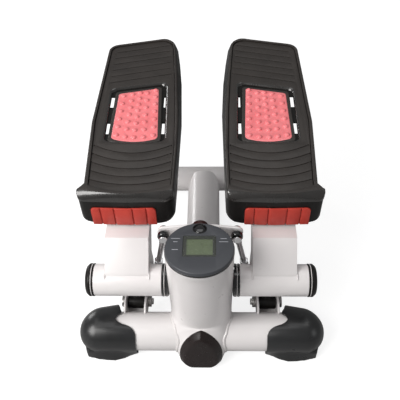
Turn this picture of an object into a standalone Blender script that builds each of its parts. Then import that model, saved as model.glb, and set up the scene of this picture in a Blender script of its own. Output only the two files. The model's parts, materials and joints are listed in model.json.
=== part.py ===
"""Mini stepper: two rocking pedal arms on one axle, joined by a see-saw and damped by two cylinders.

Metres, +Z up. The origin is on the floor under the middle of the machine. The console is at the -Y end,
and the pedals run towards +Y. The user stands facing -Y, so the user's left foot is on the +X side.
Every height and depth below is measured from the floor and from the front stabiliser's axis; one empty
then carries the whole machine so that the origin comes out under its middle.
"""
import math

import bmesh
import bpy
from mathutils import Matrix, Vector

FRONT_Y = -0.2047           # where the front stabiliser's axis lies in the finished part
GAP = 0.0003                # between pieces that touch
X_AXIS, Y_AXIS, Z_AXIS = Vector((1, 0, 0)), Vector((0, 1, 0)), Vector((0, 0, 1))

# Base tubes
TUBE_Z = 0.033
FRONT_TUBE_R, FRONT_TUBE_WALL = 0.030, 0.0025
FRONT_HALF_WIDTH = 0.1915
REAR_TUBE_Y, REAR_TUBE_R, REAR_TUBE_WALL = 0.348, 0.024, 0.0022
REAR_HALF_WIDTH = 0.165
CAP_WALL = 0.0022
CAP_DOME = 0.030                            # length of a cap's domed end, past the tube's own end
CAP_SLEEVE_END = 0.101

# Column: a wide bent tube whose lower end turns forward into the nose
COLUMN_R, COLUMN_WALL = 0.0433, 0.0025      # front to back
COLUMN_HALF_X = 0.0470                      # side to side
CREASE = Vector((0, -0.0237, 0.0802))       # inner side of the bend
CREASE_R = 0.0015
NOSE_TURN = 106                             # degrees from the upright part to the nose's mouth
NOSE_HALF_WIDTH, NOSE_HEIGHT = 0.033, 0.0762

# Console on the column
CONSOLE_CENTRE = Vector((0, 0.0027, 0.2372))
CONSOLE_TILT = math.radians(-4.1)
CONSOLE_R = 0.0474
CONSOLE_SEAT = -0.0082                      # the column's top edge, below the console's top
LCD_Y = 0.003
BUTTON_Y, BUTTON_R = 0.0355, 0.0082

# Pivot axle and the tubes that turn on it
PIVOT_Y, PIVOT_Z = 0.029, 0.129
AXLE_R = 0.012
PIVOT_TUBE_R, PIVOT_TUBE_WALL = 0.024, 0.0025
PIVOT_TUBE_IN, PIVOT_TUBE_OUT = 0.0575, 0.158
COLLAR_IN, COLLAR_R = 0.0476, 0.0247
PIVOT_CAP_END = 0.171

# See-saw between the arms
ROCKER_Y, ROCKER_Z = 0.053, 0.212
ROCKER_HALF_SPAN = 0.052
ROD_TOP_Y = 0.0440
ROD_PIN = Vector((0.069, 0.070, 0.108))

# Dampers
DAMPER_X = 0.105
DAMPER_FOOT = Vector((DAMPER_X, 0.046, 0.048))
DAMPER_HEAD = Vector((DAMPER_X, 0.172, 0.216))
DAMPER_PIN_R = 0.005

# Arms
ARM_IN, ARM_OUT, ARM_PLATE = 0.076, 0.140, 0.003

# Pedals
RIM_TOE_Y, RIM_TOE_Z = 0.088, 0.259
PEDAL_TILT = math.radians(3.41)
PEDAL_MID_X, PEDAL_HALF_WIDTH = 0.1045, 0.0675
TOE_FRONT, TOE_BOW = 0.0765, 0.002          # the toe's front face, bowed forward in the middle
TOE_WALL = 0.006
LIP_DROP = 0.013                            # height of the toe's slanted lip
LIP_TOP, LIP_BOW = 0.082, 0.0085
TREAD_DEPTH, PLATE_THICK, SKIRT_WALL = 0.006, 0.0035, 0.003
SKIRT_TOE, SKIRT_HEEL = 0.0625, 0.026
TREAD_MID_X, TREAD_HALF_TOE = 0.1012, 0.0598
TREAD_TOE_MID, TREAD_TOE_BOW = 0.0866, 0.0125
INSERT_MID_X, INSERT_HALF, INSERT_TOP = 0.111, 0.047, 0.026

SIDES = (("left", 1), ("right", -1))

PAINT = {
    "white_paint": ((0.86, 0.84, 0.84), 0.35, 0.0),
    "charcoal_plastic": ((0.045, 0.046, 0.048), 0.42, 0.0),
    "black_plastic": ((0.022, 0.020, 0.019), 0.45, 0.0),
    "slate_plastic": ((0.085, 0.09, 0.10), 0.4, 0.0),
    "tread_rubber": ((0.045, 0.040, 0.036), 0.6, 0.0),
    "coral_rubber": ((0.83, 0.12, 0.13), 0.5, 0.0),
    "red_plastic": ((0.50, 0.045, 0.035), 0.45, 0.0),
    "chrome": ((0.75, 0.76, 0.78), 0.12, 1.0),
    "steel": ((0.50, 0.50, 0.52), 0.35, 1.0),
    "clear_window": ((0.55, 0.62, 0.55), 0.05, 0.0),
    "lcd": ((0.17, 0.22, 0.12), 0.3, 0.0),
    "board": ((0.03, 0.18, 0.07), 0.5, 0.0),
    "bush_plastic": ((0.75, 0.73, 0.66), 0.5, 0.0),
}


# ---------------------------------------------------------------- scene and placing

def clear_scene():
    for item in list(bpy.data.objects):
        bpy.data.objects.remove(item, do_unlink=True)


def new_collection(name):
    found = bpy.data.collections.get(name) or bpy.data.collections.new(name)
    if name not in bpy.context.scene.collection.children:
        bpy.context.scene.collection.children.link(found)
    return found


def new_empty(name, place, parent=None):
    item = bpy.data.objects.new(name, None)
    item.empty_display_size = 0.03
    PARTS.objects.link(item)
    item.parent = parent
    item.location = place
    return item


def hang(item, pivot):
    """Parent an item built in machine coordinates to a pivot without moving it."""
    item.parent = pivot
    if pivot is not MACHINE:
        item.matrix_parent_inverse = Matrix.Translation(-pivot.location)


def material(key, name):
    colour, roughness, metallic = PAINT[key]
    made = bpy.data.materials.new(name)
    made.use_nodes = True
    shader = made.node_tree.nodes["Principled BSDF"]
    shader.inputs["Base Color"].default_value = (*colour, 1)
    shader.inputs["Roughness"].default_value = roughness
    shader.inputs["Metallic"].default_value = metallic
    return made


def finish(item, name, paint, pivot=None):
    """Name a finished piece, paint it and hang it on the body it moves with."""
    item.name = name
    item.data.name = name
    item.data.materials.clear()
    item.data.materials.append(material(paint, name))
    if item.name not in PARTS.objects:
        for held in list(item.users_collection):
            held.objects.unlink(item)
        PARTS.objects.link(item)
    hang(item, pivot or MACHINE)
    return item


# ---------------------------------------------------------------- basic solids

def from_bmesh(mesh_data, name="piece"):
    bmesh.ops.recalc_face_normals(mesh_data, faces=mesh_data.faces)
    mesh = bpy.data.meshes.new(name)
    mesh_data.to_mesh(mesh)
    mesh_data.free()
    mesh.shade_smooth()
    mesh.set_sharp_from_angle(angle=math.radians(35))
    item = bpy.data.objects.new(name, mesh)
    PARTS.objects.link(item)
    return item


def box(low, high):
    low, high = Vector(low), Vector(high)
    shape = bmesh.new()
    size = high - low
    place = Matrix.Translation((low + high) / 2) @ Matrix.Diagonal((*size, 1))
    bmesh.ops.create_cube(shape, size=1, matrix=place)
    return from_bmesh(shape)


def along(axis):
    """Rotation that turns +Z onto an axis."""
    return Vector(axis).to_track_quat("Z", "Y").to_matrix().to_4x4()


def rod(start, end, radius, segments=16, end_radius=None):
    start, end = Vector(start), Vector(end)
    shape = bmesh.new()
    place = Matrix.Translation((start + end) / 2) @ along(end - start)
    bmesh.ops.create_cone(shape, cap_ends=True, segments=segments, radius1=radius,
                          radius2=radius if end_radius is None else end_radius,
                          depth=(end - start).length, matrix=place)
    return from_bmesh(shape)


def turned(profile, place, axis=Z_AXIS, segments=24):
    """A solid of revolution: profile is (radius, height) pairs, closed unless it ends on the axis."""
    shape = bmesh.new()
    on_axis = profile[0][0] == 0 and profile[-1][0] == 0
    ring = [shape.verts.new((r, 0, h)) for r, h in profile]
    pairs = list(zip(ring, ring[1:]))
    if not on_axis:
        pairs.append((ring[-1], ring[0]))
    edges = [shape.edges.new(pair) for pair in pairs]
    bmesh.ops.spin(shape, geom=ring + edges, axis=(0, 0, 1), cent=(0, 0, 0), angle=math.tau,
                   steps=segments, use_merge=False)
    bmesh.ops.remove_doubles(shape, verts=shape.verts, dist=0.00001)
    bmesh.ops.transform(shape, matrix=Matrix.Translation(place) @ along(axis), verts=shape.verts)
    return from_bmesh(shape)


def tube(start, end, outer, inner, segments=24):
    start, end = Vector(start), Vector(end)
    length = (end - start).length
    profile = [(outer, 0), (outer, length), (inner, length), (inner, 0)]
    return turned(profile, start, end - start, segments)


def flat(outline, thickness):
    """A flat outline in XY, made solid from z = 0 up to its thickness."""
    curve = bpy.data.curves.new("outline", "CURVE")
    curve.dimensions = "2D"
    curve.fill_mode = "BOTH"
    curve.extrude = thickness / 2
    line = curve.splines.new("POLY")
    line.points.add(len(outline) - 1)
    for point, (x, y) in zip(line.points, outline):
        point.co = (x, y, 0, 1)
    line.use_cyclic_u = True
    drawn = bpy.data.objects.new("outline", curve)
    PARTS.objects.link(drawn)
    bpy.context.view_layer.update()
    mesh = bpy.data.meshes.new_from_object(drawn.evaluated_get(bpy.context.evaluated_depsgraph_get()))
    bpy.data.objects.remove(drawn)
    shape = bmesh.new()
    shape.from_mesh(mesh)
    bmesh.ops.remove_doubles(shape, verts=shape.verts, dist=0.00001)
    bmesh.ops.translate(shape, vec=(0, 0, thickness / 2), verts=shape.verts)
    return from_bmesh(shape)


def side_plate(outline, x_low, x_high):
    """An outline given as (y, z), made solid between two x values."""
    item = flat(outline, x_high - x_low)
    item.data.transform(Matrix(((0, 0, 1, x_low), (1, 0, 0, 0), (0, 1, 0, 0), (0, 0, 0, 1))))
    return item


def ring_loft(rings):
    """A closed solid through rings of points; the first and last ring are capped."""
    shape = bmesh.new()
    rows = [[shape.verts.new(point) for point in ring] for ring in rings]
    count = len(rows[0])
    for near, far in zip(rows, rows[1:]):
        for i in range(count):
            j = (i + 1) % count
            shape.faces.new((near[i], near[j], far[j], far[i]))
    shape.faces.new(rows[0])
    shape.faces.new(rows[-1])
    bmesh.ops.triangulate(shape, faces=[f for f in shape.faces if len(f.verts) > 4])
    return from_bmesh(shape)


def shell_loft(outer, inner):
    """A shell with open ends between matching outer and inner rings."""
    shape = bmesh.new()
    rows = [[shape.verts.new(point) for point in ring] for ring in outer + inner[::-1]]
    count = len(rows[0])
    for near, far in zip(rows, rows[1:] + rows[:1]):
        for i in range(count):
            j = (i + 1) % count
            shape.faces.new((near[i], near[j], far[j], far[i]))
    return from_bmesh(shape)


def ellipse(centre, half_x, half_u, u_axis, segments=24):
    """A ring of points round a centre, half_x wide along X and half_u along u_axis."""
    turn = [math.tau * i / segments for i in range(segments)]
    return [centre + X_AXIS * half_x * math.cos(a) + u_axis * half_u * math.sin(a) for a in turn]


def rounded(corners):
    """An outline of (x, y, radius) corners with each corner rounded by an arc."""
    points = []
    count = len(corners)
    for i, (x, y, radius) in enumerate(corners):
        here = Vector((x, y))
        back = (Vector(corners[i - 1][:2]) - here).normalized()
        ahead = (Vector(corners[(i + 1) % count][:2]) - here).normalized()
        if radius == 0:
            points.append((x, y))
            continue
        half = back.angle(ahead) / 2
        centre = here + (back + ahead).normalized() * (radius / math.sin(half))
        start = here + back * (radius / math.tan(half)) - centre
        end = here + ahead * (radius / math.tan(half)) - centre
        sweep = start.angle_signed(end)
        steps = max(2, round(abs(math.degrees(sweep)) / 15))
        for k in range(steps + 1):
            points.append(tuple(centre + Matrix.Rotation(-sweep * k / steps, 2) @ start))
    return points


# ---------------------------------------------------------------- cutting and joining

def tool(item):
    PARTS.objects.unlink(item)
    CUTTERS.objects.link(item)
    item.hide_render = True
    item.display_type = "WIRE"
    item.parent = MACHINE
    return item


def boolean(item, other, operation):
    step = item.modifiers.new(operation.lower(), "BOOLEAN")
    step.operation = operation
    step.solver = "EXACT"
    step.object = other if other.name in CUTTERS.objects else tool(other)
    return item


def cut(item, *others):
    for other in others:
        boolean(item, other, "DIFFERENCE")
    return item


def join(item, *others):
    for other in others:
        boolean(item, other, "UNION")
    return item


def keep(item, other):
    return boolean(item, other, "INTERSECT")


def solidified(item):
    """Make a piece's cuts and joins real, so that its mirror image is exact."""
    item.parent = MACHINE
    bpy.context.view_layer.update()
    mesh = bpy.data.meshes.new_from_object(item.evaluated_get(bpy.context.evaluated_depsgraph_get()))
    shape = bmesh.new()
    shape.from_mesh(mesh)
    bmesh.ops.dissolve_limit(shape, angle_limit=math.radians(0.05), verts=shape.verts, edges=shape.edges)
    bmesh.ops.triangulate(shape, faces=shape.faces)
    shape.to_mesh(mesh)
    shape.free()
    item.modifiers.clear()
    item.data = mesh
    return item


def mirrored(item, sign):
    """Mirror a mesh across the machine's middle when it is the -X side's."""
    if sign < 0:
        item.data.transform(Matrix.Diagonal((-1, 1, 1, 1)))
        item.data.flip_normals()
    return item


# ---------------------------------------------------------------- base

def cross_cutter(y, radius, half=0.25):
    return rod((-half, y, TUBE_Z), (half, y, TUBE_Z), radius + GAP, 24)


def make_tubes():
    inner = FRONT_TUBE_R - FRONT_TUBE_WALL
    half = FRONT_HALF_WIDTH - CAP_DOME - 0.001
    front = tube((-half, 0, TUBE_Z), (half, 0, TUBE_Z), FRONT_TUBE_R, inner, 24)
    finish(front, "front_stabiliser_tube", "white_paint")
    main = tube((0, 0, TUBE_Z), (0, REAR_TUBE_Y, TUBE_Z), FRONT_TUBE_R, inner, 24)
    cut(main, cross_cutter(0, FRONT_TUBE_R), cross_cutter(REAR_TUBE_Y, REAR_TUBE_R))
    cut(main, box((-0.05, -0.05, -0.01), (0.05, 0.005, 0.08)))
    cut(main, box((-0.05, REAR_TUBE_Y - 0.005, -0.01), (0.05, REAR_TUBE_Y + 0.05, 0.08)))
    finish(main, "main_tube", "white_paint")
    half = REAR_HALF_WIDTH - CAP_DOME - 0.001
    rear = tube((-half, REAR_TUBE_Y, TUBE_Z), (half, REAR_TUBE_Y, TUBE_Z), REAR_TUBE_R,
                REAR_TUBE_R - REAR_TUBE_WALL, 24)
    finish(rear, "rear_stabiliser_tube", "white_paint")


def end_cap(y, radius, half_width, sleeve_end, foot_low, foot_high, front_reach):
    """A moulded cap over a stabiliser's end: a domed sleeve with a foot under it."""
    outer = radius + GAP + CAP_WALL
    end = half_width
    profile = [(0, end), (outer * 0.45, end - 0.0012), (outer * 0.78, end - 0.0065),
               (outer * 0.95, end - 0.0155), (outer, end - CAP_DOME), (outer, sleeve_end), (0, sleeve_end)]
    cap = turned(profile, (0, y, TUBE_Z), X_AXIS, 24)
    foot = side_plate([(y - front_reach, 0), (y - front_reach - 0.001, 0.012), (y - outer * 0.9, 0.022),
                       (y + outer * 0.8, 0.022), (y + front_reach * 0.75, 0)], foot_low, foot_high)
    return join(cap, foot)


def bore_cap(cap, y, radius, half_width, sleeve_end):
    """Hollow the sleeve last, so that every other cut meets a solid cap."""
    bore, end = radius + GAP, half_width
    profile = [(0, end - 0.0030), (bore * 0.42, end - 0.0043), (bore * 0.74, end - 0.0100),
               (bore * 0.91, end - 0.0190),
               (bore, end - CAP_DOME), (bore, sleeve_end - 0.02), (0, sleeve_end - 0.02)]
    return cut(cap, turned(profile, (0, y, TUBE_Z), X_AXIS, 24))


def front_end_cap():
    cap = end_cap(0, FRONT_TUBE_R, FRONT_HALF_WIDTH, CAP_SLEEVE_END, 0.104, 0.166, 0.031)
    up_front = Vector((0, -0.5, 0.866))
    bite_mid = Vector((0.096, 0.004, TUBE_Z))
    cut(cap, rod(bite_mid, bite_mid + up_front * 0.06, 0.030, 24))
    cut(cap, box((0.09, 0.010, 0.0245), (0.1235, 0.06, 0.09)))
    return bore_cap(cap, 0, FRONT_TUBE_R, FRONT_HALF_WIDTH, CAP_SLEEVE_END)


def make_end_caps():
    for side, sign in SIDES:
        cap = front_end_cap()
        flip_with_tools(cap, sign)
        finish(cap, f"front_end_cap_{side}", "charcoal_plastic")
        rear = end_cap(REAR_TUBE_Y, REAR_TUBE_R, REAR_HALF_WIDTH, 0.122, 0.124, 0.156, 0.026)
        bore_cap(rear, REAR_TUBE_Y, REAR_TUBE_R, REAR_HALF_WIDTH, 0.122)
        flip_with_tools(rear, sign)
        finish(rear, f"rear_end_cap_{side}", "charcoal_plastic")


def flip_with_tools(item, sign):
    """Mirror a piece and the tools that shape it to the -X side."""
    mirrored(item, sign)
    for step in item.modifiers:
        if step.type == "BOOLEAN":
            flip_with_tools(step.object, sign)


# ---------------------------------------------------------------- column and nose

def column_rings(inset):
    """Rings from the column's top edge down and round the bend to the nose's mouth."""
    rings = []
    seat = console_matrix() @ Matrix.Translation((0, 0, CONSOLE_SEAT))
    top_u = seat.to_3x3() @ Y_AXIS
    foot = CREASE + Y_AXIS * (CREASE_R + COLUMN_R)
    top = seat.translation
    for t, radius in ((0, 0.0461), (0.045, 0.0457), (0.11, 0.0440), (0.2, COLUMN_R)):
        tilt = top_u.lerp(Y_AXIS, min(1, t * 1.2)).normalized()
        rings.append(ellipse(top.lerp(foot, t), COLUMN_HALF_X - inset, radius - inset, tilt))
    steps = 6
    for k in range(steps + 1):
        turn = math.radians(NOSE_TURN * k / steps)
        u_axis = Vector((0, math.cos(turn), -math.sin(turn)))
        share = k / steps
        height = 2 * COLUMN_R + (NOSE_HEIGHT - 2 * COLUMN_R) * share
        taper = max(0.0, (share - 0.68) / 0.32)
        half_x = COLUMN_HALF_X + (NOSE_HALF_WIDTH - COLUMN_HALF_X) * taper ** 1.4
        centre = CREASE + u_axis * (CREASE_R + height / 2)
        rings.append(ellipse(centre, half_x - inset, height / 2 - inset, u_axis))
    return rings


def console_matrix():
    return Matrix.Translation(CONSOLE_CENTRE) @ Matrix.Rotation(CONSOLE_TILT, 4, "X")


def make_column():
    column = shell_loft(column_rings(0), column_rings(COLUMN_WALL))
    cut(column, cross_cutter(0, FRONT_TUBE_R))
    cut(column, rod((0, 0.0, TUBE_Z), (0, 0.2, TUBE_Z), FRONT_TUBE_R + GAP, 24))
    cut(column, rod((-0.1, PIVOT_Y, PIVOT_Z), (0.1, PIVOT_Y, PIVOT_Z), AXLE_R + GAP, 24))
    cut(column, rod((0, 0.02, ROCKER_Z), (0, 0.08, ROCKER_Z), 0.006 + GAP, 20))
    finish(column, "column", "white_paint")


def make_nose_cap():
    turn = math.radians(NOSE_TURN)
    u_axis = Vector((0, math.cos(turn), -math.sin(turn)))
    out = Vector((0, -math.sin(turn), -math.cos(turn)))
    centre = CREASE + u_axis * (CREASE_R + NOSE_HEIGHT / 2)
    half_x, half_u = NOSE_HALF_WIDTH, NOSE_HEIGHT / 2
    plug = COLUMN_WALL + 0.0009
    rings = []
    for depth, shrink_x, shrink_u in ((-0.005, plug, plug), (GAP, plug, plug), (GAP * 1.01, 0, 0),
                                      (0.003, 0.0008, 0.0008),
                                      (0.0065, 0.004, 0.004), (0.009, 0.009, 0.010), (0.0105, 0.018, 0.021)):
        rings.append(ellipse(centre + out * depth, half_x - shrink_x, half_u - shrink_u, u_axis))
    cap = ring_loft(rings)
    cut(cap, cross_cutter(0, FRONT_TUBE_R))
    finish(cap, "nose_cap", "black_plastic")


# ---------------------------------------------------------------- console

def on_console(item):
    item.data.transform(console_matrix())
    return item


def make_console():
    r, wall = CONSOLE_R, 0.0025
    profile = [(0, 0), (r - 0.0025, 0), (r - 0.0008, -0.0008), (r, -0.0028), (r, -0.0078),
               (r - wall, -0.0078), (r - wall, -wall), (0, -wall)]
    housing = on_console(turned(profile, (0, 0, 0), Z_AXIS, 28))
    cut(housing, on_console(box((-0.0225, LCD_Y - 0.0195, -0.0013), (0.0225, LCD_Y + 0.0195, 0.01))))
    cut(housing, on_console(box((-0.0185, LCD_Y - 0.0155, -0.01), (0.0185, LCD_Y + 0.0155, 0.01))))
    cut(housing, on_console(rod((0, BUTTON_Y, -0.0072), (0, BUTTON_Y, 0.01), BUTTON_R + GAP, 24)))
    finish(housing, "console_housing", "slate_plastic")
    base = on_console(turned([(0, -0.0085), (0.0420, -0.0085), (0.0420, -0.0105), (0.0370, -0.0108),
                              (0.0370, -0.023),
                              (0.0350, -0.023), (0.0350, -0.0108), (0, -0.0108)], (0, 0, 0), Z_AXIS, 24))
    finish(base, "console_base", "black_plastic")
    glass = box((-0.0222, LCD_Y - 0.0192, -0.0010), (0.0222, LCD_Y + 0.0192, -0.0001))
    finish(on_console(glass), "lcd_window", "clear_window")
    panel = box((-0.021, LCD_Y - 0.018, -0.0046), (0.021, LCD_Y + 0.018, -0.0029))
    finish(on_console(panel), "lcd_panel", "lcd")
    board = box((-0.030, -0.026, -0.0065), (0.030, 0.022, -0.0053))
    finish(on_console(board), "circuit_board", "board")
    cell = rod((-0.022, 0.004, -0.0175), (0.022, 0.004, -0.0175), 0.0052, 20)
    finish(on_console(cell), "battery", "steel")


def make_button():
    top = 0.0018
    profile = [(0, top), (BUTTON_R * 0.4, top - 0.0003), (BUTTON_R * 0.8, top - 0.0013), (BUTTON_R, 0),
               (BUTTON_R, -0.0028), (0, -0.0028)]
    button = on_console(turned(profile, (0, BUTTON_Y, 0), Z_AXIS, 24))
    finish(button, "console_button", "black_plastic", BUTTON_PIVOT)


# ---------------------------------------------------------------- axle and see-saw

def make_axle():
    end, thread = 0.1655, 0.1595
    half = [(0, end), (0.008, end), (0.008, thread), (AXLE_R, thread)]
    axle = turned(half + [(radius, -x) for radius, x in reversed(half)], (0, PIVOT_Y, PIVOT_Z), X_AXIS, 24)
    finish(axle, "pivot_axle", "steel")
    for side, sign in SIDES:
        nut = rod((thread + GAP, PIVOT_Y, PIVOT_Z), (thread + 0.0055, PIVOT_Y, PIVOT_Z), 0.0145, 6)
        cut(nut, rod((0.1, PIVOT_Y, PIVOT_Z), (0.2, PIVOT_Y, PIVOT_Z), 0.008 + GAP, 24))
        flip_with_tools(nut, sign)
        finish(nut, f"axle_nut_{side}", "steel")


def make_rocker_mount():
    profile = [(0, -0.0122), (0.0085, -0.0130), (0.0085, -0.0090), (0.006, -0.0090), (0.006, 0.0023),
               (0.009, 0.0023), (0.009, 0.0085), (0, 0.0085)]
    bolt = turned(profile, (0, ROCKER_Y, ROCKER_Z), Y_AXIS, 24)
    finish(bolt, "rocker_pivot_bolt", "steel")
    profile = [(0, 0.0145), (0.006, 0.0138), (0.0105, 0.0115), (0.012, 0.0078), (0.012, 0.0033),
               (0.0093, 0.0033), (0.0093, 0.0088), (0, 0.0088)]
    cap = turned(profile, (0, ROCKER_Y, ROCKER_Z), Y_AXIS, 20)
    finish(cap, "rocker_pivot_cap", "red_plastic")


def make_rocker():
    half_y = 0.002
    outline = []
    for sign in (1, -1):
        for k in range(9):
            a = math.radians(-90 + 180 * k / 8)
            outline.append((sign * (ROCKER_HALF_SPAN + 0.009 * math.cos(a)), sign * 0.009 * math.sin(a)))
        outline.append((sign * 0.020, sign * 0.013))
        outline.append((sign * -0.020, sign * 0.013))
    plate = flat(outline, 2 * half_y)
    plate.data.transform(Matrix.Translation((0, ROCKER_Y + half_y,
                                             ROCKER_Z)) @ Matrix.Rotation(math.radians(90), 4, "X"))
    cut(plate, rod((0, ROCKER_Y - 0.02, ROCKER_Z), (0, ROCKER_Y + 0.02, ROCKER_Z), 0.009 + GAP, 24))
    for sign in (-1, 1):
        x = sign * ROCKER_HALF_SPAN
        cut(plate, rod((x, ROCKER_Y - 0.02, ROCKER_Z), (x, ROCKER_Y + 0.02, ROCKER_Z), 0.004 + GAP, 16))
    finish(plate, "rocker_plate", "steel", ROCKER_PIVOT)
    bush = tube((0, ROCKER_Y - half_y, ROCKER_Z), (0, ROCKER_Y + half_y, ROCKER_Z), 0.009, 0.006 + GAP, 24)
    finish(bush, "rocker_bush", "bush_plastic", ROCKER_PIVOT)
    for side, sign in SIDES:
        x = sign * ROCKER_HALF_SPAN
        profile = [(0, -0.0175), (0.0062, -0.0175), (0.0062, -0.0155), (0.0034, -0.0155), (0.0034, -0.0024),
                   (0.0040, -0.0024), (0.0040, 0.0024), (0.0065, 0.0024), (0.0065, 0.0060), (0, 0.0060)]
        stud = turned(profile, (x, ROCKER_Y, ROCKER_Z), Y_AXIS, 12)
        finish(stud, f"rocker_stud_{side}", "chrome", ROCKER_PIVOT)
    magnet = rod((0.010, ROCKER_Y - 0.0025, ROCKER_Z - 0.0185),
                 (0.010, ROCKER_Y + 0.002, ROCKER_Z - 0.0185), 0.0035, 16)
    finish(magnet, "step_magnet", "steel", ROCKER_PIVOT)


# ---------------------------------------------------------------- arms

def rim_z(y):
    """Height of the pedal's rim at a depth y."""
    return RIM_TOE_Z + (y - RIM_TOE_Y) * math.tan(PEDAL_TILT)


def arm_outline(inset):
    """The arm's side view: gusset up from the pivot tube, then a beam under the pedal."""
    top = TREAD_DEPTH + PLATE_THICK + GAP * 2 + inset
    front = 0.0875 + inset
    lower = [(0.400, rim_z(0.400) - 0.036), (0.215, rim_z(0.215) - 0.044), (0.186, 0.206), (0.150, 0.198),
             (0.098, 0.172), (0.064, 0.128), (0.040, 0.112)]
    if inset:
        lower = [(y + inset, z - 0.05) for y, z in lower[:-1]] + [(0.050, 0.06), (0.050, 0.12)]
    return [(0.012 + inset, 0.140), (0.022 + inset, 0.155), (0.058 + inset, 0.1915 - inset),
            (front, 0.1915 - inset),
            (front, rim_z(front) - top), (0.400 + (inset and 0.02), rim_z(0.400) - top)] + lower


def arm_solid():
    arm = side_plate(arm_outline(0), ARM_IN, ARM_OUT)
    cut(arm, side_plate(arm_outline(ARM_PLATE), ARM_IN + ARM_PLATE, ARM_OUT - ARM_PLATE))
    lug = side_plate(rounded([(0.040, 0.112, 0), (0.062, 0.100, 0), (0.0785, 0.0965, 0.008),
                              (0.0825, 0.113, 0.008),
                              (0.075, 0.142, 0), (0.050, 0.150, 0)]), ARM_IN, ARM_IN + ARM_PLATE)
    join(arm, lug)
    cut(arm, rod((0, PIVOT_Y, PIVOT_Z), (0.2, PIVOT_Y, PIVOT_Z), PIVOT_TUBE_R + GAP, 24))
    cut(arm, rod((0.05, *ROD_PIN.yz), (0.09, *ROD_PIN.yz), 0.004 + GAP, 20))
    cut(arm, rod((0.05, *DAMPER_HEAD.yz), (0.17, *DAMPER_HEAD.yz), DAMPER_PIN_R + GAP, 20))
    return arm


def make_arm(side, sign, pivot):
    tube_shell = tube((PIVOT_TUBE_IN, PIVOT_Y, PIVOT_Z), (PIVOT_TUBE_OUT, PIVOT_Y, PIVOT_Z), PIVOT_TUBE_R,
                      PIVOT_TUBE_R - PIVOT_TUBE_WALL, 24)
    finish(mirrored(tube_shell, sign), f"pivot_tube_{side}", "white_paint", pivot)
    bore = PIVOT_TUBE_R - PIVOT_TUBE_WALL - GAP
    bush = tube((PIVOT_TUBE_IN + 0.006, PIVOT_Y, PIVOT_Z), (PIVOT_TUBE_OUT - 0.006, PIVOT_Y, PIVOT_Z), bore,
                AXLE_R + GAP, 24)
    finish(mirrored(bush, sign), f"pivot_bush_{side}", "bush_plastic", pivot)
    collar_profile = [(COLLAR_R - 0.0012, COLLAR_IN), (COLLAR_R, COLLAR_IN + 0.002),
                      (COLLAR_R, PIVOT_TUBE_IN - GAP),
                      (bore, PIVOT_TUBE_IN - GAP), (bore, PIVOT_TUBE_IN + 0.0055),
                      (AXLE_R + 0.0008, PIVOT_TUBE_IN + 0.0055), (AXLE_R + 0.0008, COLLAR_IN)]
    collar = turned(collar_profile, (0, PIVOT_Y, PIVOT_Z), X_AXIS, 20)
    finish(mirrored(collar, sign), f"pivot_collar_{side}", "black_plastic", pivot)
    end = PIVOT_CAP_END
    cap_profile = [(0, end), (0.012, end - 0.0006), (0.019, end - 0.0028), (0.0232, end - 0.0065),
                   (COLLAR_R, end - 0.010), (COLLAR_R, PIVOT_TUBE_OUT + GAP), (bore, PIVOT_TUBE_OUT + GAP),
                   (bore, PIVOT_TUBE_OUT - 0.0055),
                   (bore - 0.002, PIVOT_TUBE_OUT - 0.0055), (bore - 0.002, end - 0.004), (0, end - 0.004)]
    cap = turned(cap_profile, (0, PIVOT_Y, PIVOT_Z), X_AXIS, 20)
    finish(mirrored(cap, sign), f"pivot_cap_{side}", "black_plastic", pivot)
    arm = arm_solid()
    flip_with_tools(arm, sign)
    finish(arm, f"arm_{side}", "white_paint", pivot)
    head = turned([(0, 0), (0.0075, 0), (0.0075, 0.004), (DAMPER_PIN_R, 0.004), (DAMPER_PIN_R, 0.070),
                   (0.0075, 0.070), (0.0075, 0.0735), (0, 0.0735)],
                  (ARM_IN - 0.004 - GAP, *DAMPER_HEAD.yz), X_AXIS, 24)
    finish(mirrored(head, sign), f"damper_upper_pin_{side}", "steel", pivot)
    pin = turned([(0, 0), (0.0062, 0), (0.0062, 0.0018), (0.004, 0.0018), (0.004, 0.0148 + ARM_PLATE + GAP),
                        (0.007, 0.0148 + ARM_PLATE + GAP), (0.007, 0.0215), (0, 0.0215)],
                       (ROD_PIN.x - 0.0078, *ROD_PIN.yz), X_AXIS, 20)
    finish(mirrored(pin, sign), f"tie_rod_pin_{side}", "steel", pivot)


# ---------------------------------------------------------------- pedals

def pedal_outline(inset=0.0):
    """The pedal at its widest, as (x, y) from the toe line: flared toe cap, full inner side, slanted heel."""
    corners = [(0.0375 + inset, TOE_FRONT + TOE_BOW + inset, 0.014), (PEDAL_MID_X, TOE_FRONT + inset, 0),
               (0.1757 - inset, TOE_FRONT + TOE_BOW + inset, 0.010), (0.1757 - inset, 0.0925 - inset, 0),
               (0.1665 - inset, 0.0955, 0), (0.1735 - inset, 0.235, 0),
               (0.1680 - inset, 0.439 - inset, 0.020),
               (0.0480 + inset, 0.4645 - inset, 0.024), (0.0400 + inset, 0.396, 0),
               (0.0353 + inset, 0.340, 0), (0.0325 + inset, 0.260, 0), (0.0340 + inset, 0.177, 0)]
    return [(x, y - RIM_TOE_Y) for x, y in rounded(corners)]


# The inner side's lean between its foot and the rim, by distance from the stabiliser's axis
INNER_DRAFT = [(0.070, 0.0015), (0.177, 0.0020), (0.233, 0.0038), (0.268, 0.0058), (0.304, 0.0067),
               (0.342, 0.0073), (0.382, 0.0069), (0.416, 0.0057), (0.442, 0.0050), (0.470, 0.0030)]


def inner_draft(x, y):
    """How far the inner side's wall leans in between its foot and the rim."""
    y += RIM_TOE_Y
    for (y0, d0), (y1, d1) in zip(INNER_DRAFT, INNER_DRAFT[1:]):
        if y0 <= y <= y1:
            draft = d0 + (d1 - d0) * (y - y0) / (y1 - y0)
            return draft * min(1.0, max(0.0, (0.085 - x) / 0.030))
    return 0.0


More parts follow.
